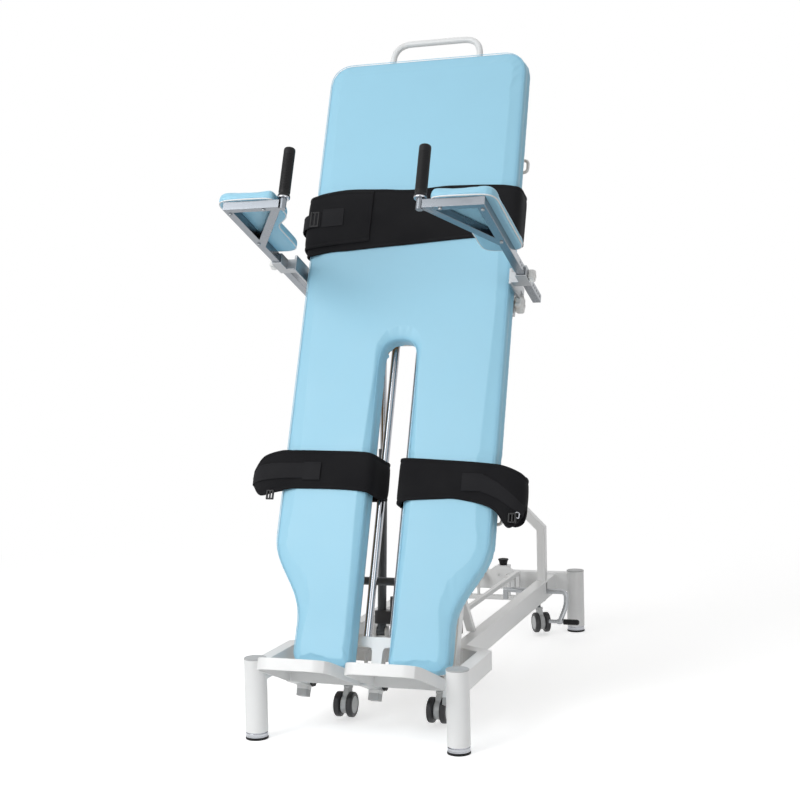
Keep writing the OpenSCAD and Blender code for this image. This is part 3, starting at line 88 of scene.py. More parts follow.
BASE = Matrix.Scale(MM, 4) @ Matrix.Translation((0, -PLAN_MID, 0))
BED = (Matrix.Scale(MM, 4) @ Matrix.Translation((0, PIVOT_Y - PLAN_MID, PIVOT_Z))
       @ Matrix.Rotation(-LEAN, 4, "X") @ Matrix.Translation((0, -PIVOT_N, -PIVOT_U)))


class Side(Enum):
    """The two sides of the table, seen from its foot end."""

    LEFT = -1
    RIGHT = 1

    @property
    def word(self) -> str:
        """The side's name in the nodes' and bodies' names."""
        return self.name.lower()


def arm_space(side: Side, height: float) -> Matrix:
    """Returns the space of one armrest: the bed's at that height, mirrored on the left."""
    return BED @ Matrix.Translation((0, 0, height)) @ Matrix.Diagonal((side.value, 1, 1, 1))


# ---------------------------------------------------------------- finishes

# Most of a noise texture's values lie between these two
NOISE_LOW, NOISE_HIGH = 0.3, 0.7
# Length of one band of a wave texture whose scale is one
WAVE_BAND = 0.314


def per_metre(size_mm: float) -> float:
    """Returns a texture's scale for a pattern of a real size."""
    return 1 / (size_mm * MM)


def linear(code: str) -> tuple[float, float, float, float]:
    """Turns an sRGB hex colour to linear light.

    Args:
        code: the colour, such as "#9BD0E6".

    Returns:
        Red, green, blue and an alpha of one.
    """
    parts = [int(code[i:i + 2], 16) / 255 for i in (1, 3, 5)]
    return (*[p / 12.92 if p <= 0.04045 else ((p + 0.055) / 1.055) ** 2.4 for p in parts], 1.0)


PURE_WHITE = linear("#FFFFFF")


def add_node(tree: Tree, kind: str, links: dict | None = None, values: dict | None = None,
             **settings: object) -> Node:
    """Adds one node.

    Args:
        tree: the material's or world's node tree.
        kind: the node's class, such as "ShaderNodeBump".
        links: an input's name or index to the output that feeds it.
        values: an input's name or index to its value.
        settings: the node's own properties.

    Returns:
        The new node.
    """
    made = tree.nodes.new(kind)
    for name, value in settings.items():
        setattr(made, name, value)
    for name, value in (values or {}).items():
        made.inputs[name].default_value = value
    for name, source in (links or {}).items():
        tree.links.new(source, made.inputs[name])
    return made


@dataclass(frozen=True)
class Finish:
    """A surface: its colour, its gloss and a pattern at its real scale."""

    name: str
    slot: str
    colour: str
    roughness: float
    metallic: float = 0.0
    # How much darker its darkest places are, and how far its gloss drifts to both sides
    shade: float = 0.05
    gloss_spread: float = 0.05
    # The drift's cells are about 111 mm wide, a hand's breadth
    drift_per_metre: float = 9.0

    def material(self) -> bpy.types.Material:
        """Makes the finish's material at its first use.

        Returns:
            The material.
        """
        found = bpy.data.materials.get(self.name)
        if found:
            return found
        made = bpy.data.materials.new(self.name)
        made.use_nodes = True
        tree = made.node_tree
        shader = tree.nodes["Principled BSDF"]
        shader.inputs["Metallic"].default_value = self.metallic
        place = add_node(tree, "ShaderNodeTexCoord").outputs["Object"]
        self.tint(tree, shader, place)
        self.pattern(tree, shader, place)
        return made

    def tint(self, tree: Tree, shader: Node, place: Socket) -> None:
        """Lets colour and gloss drift a little over hand-sized areas, as on any used surface.

        Args:
            tree: the material's node tree.
            shader: its surface shader.
            place: where on the object a point is.
        """
        drift = add_node(tree, "ShaderNodeTexNoise", {"Vector": place},
                         {"Scale": self.drift_per_metre, "Detail": 3.0})
        base = linear(self.colour)
        darker = (*[c * (1 - self.shade) for c in base[:3]], 1.0)
        mix = add_node(tree, "ShaderNodeMix", {0: drift.outputs["Fac"]}, {6: darker, 7: base}, data_type="RGBA")
        tree.links.new(mix.outputs[2], shader.inputs["Base Color"])
        gloss = add_node(tree, "ShaderNodeMapRange", {"Value": drift.outputs["Fac"]},
                         {"From Min": NOISE_LOW, "From Max": NOISE_HIGH, "To Min": self.roughness - self.gloss_spread,
                          "To Max": self.roughness + self.gloss_spread})
        tree.links.new(gloss.outputs["Result"], shader.inputs["Roughness"])

    def pattern(self, tree: Tree, shader: Node, place: Socket) -> None:
        """Draws the surface's relief. A plain finish has none."""

    def relief(self, tree: Tree, shader: Node, height: Socket, strength: float, depth_mm: float) -> None:
        """Turns a height into the shader's normal.

        Args:
            tree: the material's node tree.
            shader: its surface shader.
            height: the output that holds the height, from 0 to 1.
            strength: how much of the relief shows.
            depth_mm: the relief's depth.
        """
        bump = add_node(tree, "ShaderNodeBump", {"Height": height},
                        {"Strength": strength, "Distance": depth_mm * MM})
        tree.links.new(bump.outputs["Normal"], shader.inputs["Normal"])


@dataclass(frozen=True)
class PowderCoat(Finish):
    """Powder-coated steel: baked polyester powder, a satin skin with the faint ripple of orange peel."""

    peel_mm: float = 2.4
    coat: float = 0.12
    coat_roughness: float = 0.2

    def pattern(self, tree: Tree, shader: Node, place: Socket) -> None:
        """Draws softly glossy orange peel, a little over two millimetres wide.

        Args:
            tree: the material's node tree.
            shader: its surface shader.
            place: where on the object a point is.
        """
        peel = add_node(tree, "ShaderNodeTexNoise", {"Vector": place},
                        {"Scale": per_metre(self.peel_mm), "Detail": 1.0})
        self.relief(tree, shader, peel.outputs["Fac"], strength=0.22, depth_mm=0.12)
        shader.inputs["Coat Weight"].default_value = self.coat
        shader.inputs["Coat Roughness"].default_value = self.coat_roughness


@dataclass(frozen=True)
class Vinyl(Finish):
    """PVC upholstery vinyl: calendered film embossed with a fine leather grain, stretched over foam."""

    grain_mm: float = 1.9
    # The foam's ripples are about 45 mm wide, and this much higher than the grain
    ripple_per_metre: float = 22.0
    ripple_height: float = 5.0
    coat: float = 0.06
    coat_roughness: float = 0.35
    shine: float = 0.4

    def pattern(self, tree: Tree, shader: Node, place: Socket) -> None:
        """Draws pebbled grain under soft wide ripples of the foam.

        The grain is drawn about twice its real 0.9 mm, so that it shows.

        Args:
            tree: the material's node tree.
            shader: its surface shader.
            place: where on the object a point is.
        """
        grain = add_node(tree, "ShaderNodeTexVoronoi", {"Vector": place}, {"Scale": per_metre(self.grain_mm)},
                         feature="SMOOTH_F1")
        ripple = add_node(tree, "ShaderNodeTexNoise", {"Vector": place},
                          {"Scale": self.ripple_per_metre, "Detail": 2.0})
        wide = add_node(tree, "ShaderNodeMath", {0: ripple.outputs["Fac"]}, {1: self.ripple_height},
                        operation="MULTIPLY")
        both = add_node(tree, "ShaderNodeMath", {0: grain.outputs["Distance"], 1: wide.outputs["Value"]},
                        operation="ADD")
        self.relief(tree, shader, both.outputs["Value"], strength=0.3, depth_mm=0.22)
        shader.inputs["Coat Weight"].default_value = self.coat
        shader.inputs["Coat Roughness"].default_value = self.coat_roughness
        shader.inputs["Specular IOR Level"].default_value = self.shine


@dataclass(frozen=True)
class Webbing(Finish):
    """Woven polyester webbing and belt cloth: dull black yarns in a plain weave with a faint nap."""

    yarn_mm: float = 3.0
    # The weft lies this much closer than the warp
    weft_density: float = 1.4
    # The nap's widest cells are about 6 mm, and its detail goes down to less than half a millimetre
    nap_per_metre: float = 160.0
    shine: float = 0.2
    sheen: float = 0.04
    sheen_roughness: float = 0.45

    def pattern(self, tree: Tree, shader: Node, place: Socket) -> None:
        """Lays warp and weft ribs by the strap's own length and width.

        They are drawn wider than the real 1.2 mm, so that they show.

        Args:
            tree: the material's node tree.
            shader: its surface shader.
            place: where on the object a point is.
        """
        cloth = add_node(tree, "ShaderNodeTexCoord").outputs["UV"]
        scale = WAVE_BAND / (self.yarn_mm * MM)
        warp = add_node(tree, "ShaderNodeTexWave", {"Vector": cloth}, {"Scale": scale}, bands_direction="X")
        weft = add_node(tree, "ShaderNodeTexWave", {"Vector": cloth}, {"Scale": scale * self.weft_density},
                        bands_direction="Y")
        weave = add_node(tree, "ShaderNodeMath", {0: warp.outputs["Fac"], 1: weft.outputs["Fac"]},
                         operation="MULTIPLY")
        nap = add_node(tree, "ShaderNodeTexNoise", {"Vector": place},
                       {"Scale": self.nap_per_metre, "Detail": 4.0})
        both = add_node(tree, "ShaderNodeMath", {0: weave.outputs["Value"], 1: nap.outputs["Fac"]},
                        operation="ADD")
        self.relief(tree, shader, both.outputs["Value"], strength=0.45, depth_mm=0.5)
        shader.inputs["Specular IOR Level"].default_value = self.shine
        shader.inputs["Sheen Weight"].default_value = self.sheen
        shader.inputs["Sheen Roughness"].default_value = self.sheen_roughness


@dataclass(frozen=True)
class Moulded(Finish):
    """Injection-moulded plastic or rubber: a fine spark-eroded texture from the mould."""

    texture_mm: float = 1.4
    depth_mm: float = 0.08
    shine: float = 0.5

    def pattern(self, tree: Tree, shader: Node, place: Socket) -> None:
        """Draws fine even pits that break up the highlight.

        Args:
            tree: the material's node tree.
            shader: its surface shader.
            place: where on the object a point is.
        """
        pits = add_node(tree, "ShaderNodeTexNoise", {"Vector": place},
                        {"Scale": per_metre(self.texture_mm), "Detail": 2.0})
        self.relief(tree, shader, pits.outputs["Fac"], strength=0.3, depth_mm=self.depth_mm)
        shader.inputs["Specular IOR Level"].default_value = self.shine


@dataclass(frozen=True)
class BrightMetal(Finish):
    """Bare or plated metal: its fine scratches run along the bed's depth, as the armrest tubes do."""

    # Scratches per metre across the bed, along its depth and along its length
    grain: tuple[float, float, float] = (900.0, 14.0, 900.0)
    depth_mm: float = 0.02
    anisotropy: float = 0.0

    def pattern(self, tree: Tree, shader: Node, place: Socket) -> None:
        """Draws long fine scratches, which pull the highlight out along the tube.

        Args:
            tree: the material's node tree.
            shader: its surface shader.
            place: where on the object a point is.
        """
        lined = add_node(tree, "ShaderNodeMapping", {"Vector": place},
                         {"Rotation": (LEAN, 0, 0), "Scale": self.grain})
        scratch = add_node(tree, "ShaderNodeTexNoise", {"Vector": lined.outputs["Vector"]},
                           {"Scale": 1.0, "Detail": 3.0})
        self.relief(tree, shader, scratch.outputs["Fac"], strength=0.2, depth_mm=self.depth_mm)
        shader.inputs["Anisotropic"].default_value = self.anisotropy


@dataclass(frozen=True)
class Plywood(Finish):
    """Birch plywood: thin peeled plies glued crosswise, so its faces show grain and its edges show lines."""

    ply_mm: float = 1.5
    # Fibres per metre across the bed, along its depth and along its length
    fibre_per_metre: tuple[float, float, float] = (120.0, 120.0, 10.0)
    dark_ply: float = 0.55

    def pattern(self, tree: Tree, shader: Node, place: Socket) -> None:
        """Draws grain along the bed, and the plies' lines through the board's depth.

        Args:
            tree: the material's node tree.
            shader: its surface shader.
            place: where on the object a point is.
        """
        along = add_node(tree, "ShaderNodeMapping", {"Vector": place},
                         {"Rotation": (LEAN, 0, 0), "Scale": self.fibre_per_metre})
        fibre = add_node(tree, "ShaderNodeTexNoise", {"Vector": along.outputs["Vector"]},
                         {"Scale": 1.0, "Detail": 5.0})
        deep = add_node(tree, "ShaderNodeMapping", {"Vector": place}, {"Rotation": (LEAN, 0, 0)})
        plies = add_node(tree, "ShaderNodeTexWave", {"Vector": deep.outputs["Vector"]},
                         {"Scale": WAVE_BAND / (2 * self.ply_mm * MM)}, bands_direction="Y")
        base = linear(self.colour)
        dark = (*[c * self.dark_ply for c in base[:3]], 1.0)
        edge = add_node(tree, "ShaderNodeMath", {0: plies.outputs["Fac"], 1: fibre.outputs["Fac"]},
                        operation="MULTIPLY")
        mix = add_node(tree, "ShaderNodeMix", {0: edge.outputs["Value"]}, {6: base, 7: dark}, data_type="RGBA")
        tree.links.new(mix.outputs[2], shader.inputs["Base Color"])
        self.relief(tree, shader, fibre.outputs["Fac"], strength=0.2, depth_mm=0.2)


# Welded steel, blasted and powder coated in white: an even bright skin with wide soft highlights.
WHITE_STEEL = PowderCoat("powder_coated_steel_white", "white_paint", "#E9EAEA", 0.36, shade=0.03)
# Turned or drawn steel, powder coated dark grey: quiet inner parts that show by the light on their edges.
DARK_STEEL = PowderCoat("powder_coated_steel_dark", "dark_paint", "#4F5459", 0.42)
# Upholstery vinyl, calendered and embossed, pulled over foam: a soft sheen that follows each swell and crease.
BLUE_VINYL = Vinyl("pvc_vinyl_sky_blue", "blue_vinyl", "#9ED3EA", 0.46, shade=0.035)
# Extruded vinyl piping: a thin bright line round each cushion.
WHITE_PIPING = Vinyl("pvc_piping_white", "white_plastic", "#EEF1F2", 0.4, shade=0.02)
# Belt cloth, woven of textured polyester and lined with foam: nearly black, it takes light only at its folds.
BLACK_BELT = Webbing("polyester_belt_cloth_black", "black_webbing", "#111114", 0.86, shade=0.25)
# Woven polyester tape, tighter than the belts: a shade lighter, so that it stands out from them.
BLACK_TAPE = Webbing("polyester_webbing_black", "black_webbing", "#19191C", 0.78, shade=0.2, yarn_mm=2.4)
# ABS with a metallic pigment, injection moulded: pale silver with broad highlights.
SILVER_ABS = Moulded("abs_silver_moulded", "grey_plastic", "#C9CBCC", 0.4, shade=0.03)
# Light grey ABS, injection moulded: matt caps, a step darker than the paint beside them.
GREY_ABS = Moulded("abs_grey_moulded", "grey_plastic", "#B8B9BA", 0.45, shade=0.03)
# Charcoal ABS, injection moulded: a dull housing that keeps its form in the shade.
DARK_ABS = Moulded("abs_charcoal_moulded", "dark_paint", "#3C3D41", 0.5, shade=0.06)
# Black ABS, injection moulded: small hard glints on black belts and under the white trays.
BLACK_ABS = Moulded("abs_black_moulded", "black_plastic", "#111113", 0.4, shade=0.1, shine=0.3)
# White ABS, injection moulded: as white as the paint, a little smoother, without its orange peel.
WHITE_ABS = Moulded("abs_white_moulded", "white_plastic", "#F0F0EE", 0.36, shade=0.02)
# Nitrile rubber, pressed and cured in a blasted mould: a deep dull black.
BLACK_RUBBER = Moulded("nitrile_rubber_black", "black_rubber", "#0E0E10", 0.5, shade=0.15, depth_mm=0.15,
                       shine=0.25)
# Polyurethane tread, cast and turned: near black, worn to a faint gloss.
CASTOR_TREAD = Moulded("polyurethane_tread_black", "castor_tread", "#232326", 0.4, shade=0.12)
# Steel, polished and chrome plated: mirrors the white room and the dark parts in long narrow stripes.
CHROME = BrightMetal("chrome_plated_steel", "chrome", "#B4B6BB", 0.09, 1.0, gloss_spread=0.03)
# Stainless steel tube, brushed along its length: a darker metal whose highlight is drawn out lengthways.
STAINLESS = BrightMetal("stainless_steel_brushed", "bare_steel", "#898E94", 0.26, 1.0, anisotropy=0.45,
                        depth_mm=0.03)
# Zinc-plated steel, barrel finished: a cloudy pale metal without a grain.
ZINC = BrightMetal("zinc_plated_steel", "bare_steel", "#A6A9AC", 0.38, 1.0, grain=(60.0, 60.0, 60.0), depth_mm=0.03)
# Sintered bronze, pressed from powder and soaked in oil: warm, with fine even pores.
BRONZE = BrightMetal("sintered_bronze", "bronze", "#A98652", 0.4, 1.0, grain=(400.0, 400.0, 400.0))
# Birch plywood, peeled, glued crosswise and sawn: pale wood with striped edges.
BIRCH = Plywood("birch_plywood", "plywood", "#C9A878", 0.6)


# ---------------------------------------------------------------- meshes

# On a lathe, a radius of zero is drawn this small, in millimetres, until its points are joined
POINT_RADIUS = 1e-4
# Points closer than this are joined, and faces and edges smaller than this are taken out, in metres
WELD, NODE_WELD, SLIVER = 1e-6, 2e-6, 1e-7
# Faces that meet at less than the first angle are one face, and edges sharper than the second are rounded
ONE_FACE, SHARP_EDGE = math.radians(0.6), math.radians(28)
# An edge is rounded where its faces are this many roundings broad: by their area, and beside the edge
BROAD_FACE, BROAD_BESIDE = 2.2, 3
# Faces that meet at less than this many degrees shade as one
SMOOTH_ANGLE = 38.0
# Keeps a division by a length defined when the length is zero
TINY = 1e-9


@dataclass
class Shape:
    """A mesh in the making, in one space's millimetres. Each method adds a body and returns the shape."""

    points: list[Vector] = field(default_factory=list)
    faces: list[tuple[int, ...]] = field(default_factory=list)
    # Where a point lies along and across its cloth, in metres
    cloth: dict[int, Pair] = field(default_factory=dict)

    def loft(self, rings: Sequence[Sequence], caps: bool = True, loop: bool = False) -> Shape:
        """Joins rings of equal length into a skin.

        Args:
            rings: the rings, each a closed line of points.
            caps: closes the first and the last ring.
            loop: joins the last ring to the first one instead.

        Returns:
            The shape itself.
        """
        first, size, count = len(self.points), len(rings[0]), len(rings)
        for ring in rings:
            self.points.extend(Vector(p) for p in ring)
        for k in range(count if loop else count - 1):
            a, b = first + k * size, first + (k + 1) % count * size
            self.faces.extend((a + i, a + (i + 1) % size, b + (i + 1) % size, b + i) for i in range(size))
        if caps and not loop:
            self.faces.append(tuple(first + i for i in range(size)))
            self.faces.append(tuple(first + (count - 1) * size + i for i in range(size)))
        return self

    def lathe(self, profile: Outline, centre: Sequence[float] = (0, 0, 0),
              axis: Sequence[float] = (0, 0, 1), steps: int = 72, loop: bool = False) -> Shape:
        """Turns a profile about an axis.

        Args:
            profile: radius and height of each point.
            centre: where height zero is.
            axis: the way that heights go.
            steps: how many sides the turn has.
            loop: the profile is closed in itself, as a ring's is.

        Returns:
            The shape itself.
        """
        way = Vector(axis).normalized()
        turn = way.to_track_quat("Z", "Y").to_matrix()
        angles = [2 * math.pi * i / steps for i in range(steps)]
        wide = [(max(r, POINT_RADIUS), h) for r, h in profile]
        rings = [[Vector(centre) + turn @ Vector((r * math.cos(a), r * math.sin(a), h)) for a in angles]
                 for r, h in wide]
        return self.loft(rings, loop=loop)

    def tube(self, path: Sequence, radius: float, steps: int = 20, loop: bool = False) -> Shape:
        """Lays a round bar along a path.

        Args:
            path: the points of its middle line.
            radius: its radius.
            steps: how many sides it has.
            loop: the path is closed.

        Returns:
            The shape itself.
        """
        pts = [Vector(p) for p in path]
        last = len(pts) - 1
        rings, side = [], None
        for i, p in enumerate(pts):
            ahead = pts[(i + 1) % len(pts)] if loop else pts[min(i + 1, last)]
            behind = pts[i - 1] if loop else pts[max(i - 1, 0)]
            way = (ahead - behind).normalized()
            side = way.orthogonal() if side is None else side - way * side.dot(way)
            side = side.normalized()
            up = way.cross(side)
            rings.append([p + (side * math.cos(a) + up * math.sin(a)) * radius
                          for a in (2 * math.pi * k / steps for k in range(steps))])
        return self.loft(rings, loop=loop)

    def brick(self, low: Sequence[float], high: Sequence[float]) -> Shape:
        """Adds a box between two corners. Its edges are rounded by add_piece."""
        (a, b, c), (d, e, f) = low, high
        return self.loft([[(a, b, h), (d, b, h), (d, e, h), (a, e, h)] for h in (c, f)])

    def layers(self, outline: Outline, steps: Outline, place: Callable[[float, float, float], tuple]) -> Shape:
        """Stacks one outline at several heights, each drawn in by its own amount.

        Args:
            outline: the plan, counter-clockwise.
            steps: how far each layer is drawn in, and its height.
            place: turns plan coordinates and a height to a point.

        Returns:
            The shape itself.
        """
        return self.loft([[place(*p, h) for p in inset(outline, d)] for d, h in steps])


def inset(outline: Outline, depth: float) -> list[Pair]:
    """Draws an outline in, point by point.

    Args:
        outline: the outline, counter-clockwise.
        depth: how far it is drawn in.

    Returns:
        The smaller outline.
    """
    made = []
    for i, (x, y) in enumerate(outline):
        (ax, ay), (bx, by) = outline[i - 1], outline[(i + 1) % len(outline)]
        dx, dy = bx - ax, by - ay
        size = math.hypot(dx, dy) or 1.0
        made.append((x - dy / size * depth, y + dx / size * depth))
    return made


def round_path(points: Sequence, radius: float, steps: int = 8) -> list[Vector]:
    """Rounds the inner corners of an open path.

    Args:
        points: the corners, with both ends.
        radius: how far before and after a corner its curve starts.
        steps: how many parts each curve has.

    Returns:
        The rounded path.
    """
    pts = [Vector(p) for p in points]
    made = [pts[0]]
    for a, p, b in zip(pts, pts[1:], pts[2:]):
        to_a, to_b = a - p, b - p
        r = min(radius, to_a.length / 2, to_b.length / 2)
        for i in range(steps + 1):
            s = i / steps
            made.append(p + to_a.normalized() * r * (1 - s) ** 2 + to_b.normalized() * r * s ** 2)
    return made + [pts[-1]]


def catmull(keys: Sequence[Sequence[float]], spacing: float, loop: bool = False) -> np.ndarray:
    """Draws a smooth line through key points of any number of values.

    Args:
        keys: the key points. Their first two values set the spacing.
        spacing: distance between the points of the result.
        loop: the line is closed.

    Returns:
        The points, one per row.
    """
    k = np.array(keys, float)
    count = len(k)
    made = []

    def take(j: int) -> np.ndarray:
        """Returns a key point, counted round the loop or held at the line's ends."""
        return k[j % count] if loop else k[min(max(j, 0), count - 1)]

    for i in range(count if loop else count - 1):
        p0, p1, p2, p3 = take(i - 1), take(i), take(i + 1), take(i + 2)
        parts = max(2, int(round(np.linalg.norm((p2 - p1)[:2]) / spacing)))
        for t in np.arange(parts) / parts:
            made.append(0.5 * (2 * p1 + (p2 - p0) * t + (2 * p0 - 5 * p1 + 4 * p2 - p3) * t ** 2
                               + (3 * p1 - p0 - 3 * p2 + p3) * t ** 3))
    if not loop:
        made.append(k[-1])
    return np.array(made)


def round_edges(bm: bmesh.types.BMesh, width: float) -> None:
    """Rounds the outer edges of a body, apart from those of walls too thin for it.

    Args:
        bm: the mesh, in metres.
        width: the rounding, in metres.
    """
    bmesh.ops.dissolve_limit(bm, angle_limit=ONE_FACE, verts=bm.verts[:], edges=bm.edges[:])
    broad = {f.index: 2 * f.calc_area() / max(sum(e.calc_length() for e in f.edges), TINY) for f in bm.faces}
    chosen = []
    for edge in bm.edges:
        if len(edge.link_faces) != 2 or not edge.is_convex or edge.calc_face_angle(0) < SHARP_EDGE:
            continue
        length = edge.calc_length()
        if all(broad[f.index] > BROAD_FACE * width and f.calc_area() / max(length, TINY) > BROAD_BESIDE * width
               for f in edge.link_faces):
            chosen.append(edge)
    if chosen:
        bmesh.ops.bevel(bm, geom=chosen, offset=width, segments=3, profile=0.5, affect="EDGES", clamp_overlap=False)


def settle(obj: bpy.types.Object) -> bpy.types.Object:
    """Applies an object's modifiers to its mesh.

    Args:
        obj: the object.

    Returns:
        The same object, with its final mesh.
    """
    graph = bpy.context.evaluated_depsgraph_get()
    graph.update()
    baked = bpy.data.meshes.new_from_object(obj.evaluated_get(graph), preserve_all_data_layers=True,
                                            depsgraph=graph)
    obj.modifiers.clear()
    obj.data = baked
    return obj


def link(name: str, mesh: bpy.types.Mesh) -> bpy.types.Object:
    """Puts a mesh into the scene.

    Args:
        name: the new object's name.
        mesh: its mesh.

    Returns:
        The new object.
    """
    obj = bpy.data.objects.new(name, mesh)
    bpy.context.scene.collection.objects.link(obj)
    return obj


def dress(obj: bpy.types.Object, finish: Finish, body: str, replaces: Iterable[str] = (),
          smooth: float = SMOOTH_ANGLE, weighted: bool = True) -> bpy.types.Object:
    """Gives a piece its shading, finish, body and the nodes that it stands for.

    Args:
        obj: the piece, in place.
        finish: its surface.
        body: the body that it rides on.
        replaces: the nodes that it stands for.
        smooth: the angle up to which its faces shade as one, in degrees.
        weighted: lets the broad faces set the shading at rounded edges.

    Returns:
        The piece.
    """
    obj.data.polygons.foreach_set("use_smooth", [True] * len(obj.data.polygons))
    obj.data.set_sharp_from_angle(angle=math.radians(smooth))
    if weighted:
        even = obj.modifiers.new("even_normals", "WEIGHTED_NORMAL")
        even.keep_sharp = True
        settle(obj)
    obj.data.materials.clear()
    obj.data.materials.append(finish.material())
    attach(obj, body)
    if replaces:
        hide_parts(*replaces)
    log.info("%s: %d faces, %s, on %s", obj.name, len(obj.data.polygons), finish.name, body)
    return obj


def add_piece(name: str, shape: Shape, space: Matrix, finish: Finish, body: str, replaces: Iterable[str] = (),
              edge: float = 0.0, smooth: float = SMOOTH_ANGLE, weighted: bool = True) -> bpy.types.Object:
    """Makes a piece from a shape.

    Args:
        name: the piece's name.
        shape: its form.
        space: the space that the form is drawn in.
        finish: its surface.
        body: the body that it rides on.
        replaces: the nodes that it stands for.
        edge: how far its outer edges are rounded, in millimetres.
        smooth: the angle up to which its faces shade as one, in degrees.
        weighted: lets the broad faces set the shading at rounded edges.

    Returns:
        The piece.
    """
    bm = bmesh.new()
    cloth = bm.loops.layers.uv.new("cloth") if shape.cloth else None
    verts = [bm.verts.new(space @ p) for p in shape.points]
    for face in shape.faces:
        made = bm.faces.new([verts[i] for i in face])
        if cloth:
            for corner, i in zip(made.loops, face):
                corner[cloth].uv = shape.cloth.get(i, (0.0, 0.0))
    bmesh.ops.remove_doubles(bm, verts=bm.verts[:], dist=WELD)
    bmesh.ops.dissolve_degenerate(bm, edges=bm.edges[:], dist=SLIVER)
    bmesh.ops.recalc_face_normals(bm, faces=bm.faces[:])
    if edge:
        round_edges(bm, edge * MM)
    mesh = bpy.data.meshes.new(name)
    bm.to_mesh(mesh)
    bm.free()
    return dress(link(name, mesh), finish, body, replaces, smooth, weighted)


def dress_node(node: str, finish: Finish, edge: float) -> bpy.types.Object:
    """Stands a piece with rounded edges in for a node of the frame, in the same place.

    Args:
        node: the node's name.
        finish: its surface.
        edge: how far its outer edges are rounded, in millimetres.

    Returns:
        The piece.
    """
    source = frame["nodes"][node]
    bm = bmesh.new()
    bm.from_mesh(source.data)
    bmesh.ops.remove_doubles(bm, verts=bm.verts[:], dist=NODE_WELD)
    bmesh.ops.recalc_face_normals(bm, faces=bm.faces[:])
    if edge:
        round_edges(bm, edge * MM)
    mesh = bpy.data.meshes.new(node + "_finished")
    bm.to_mesh(mesh)
    bm.free()
    return dress(link(node + "_finished", mesh), finish, source["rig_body"], [node])


# ---------------------------------------------------------------- stage


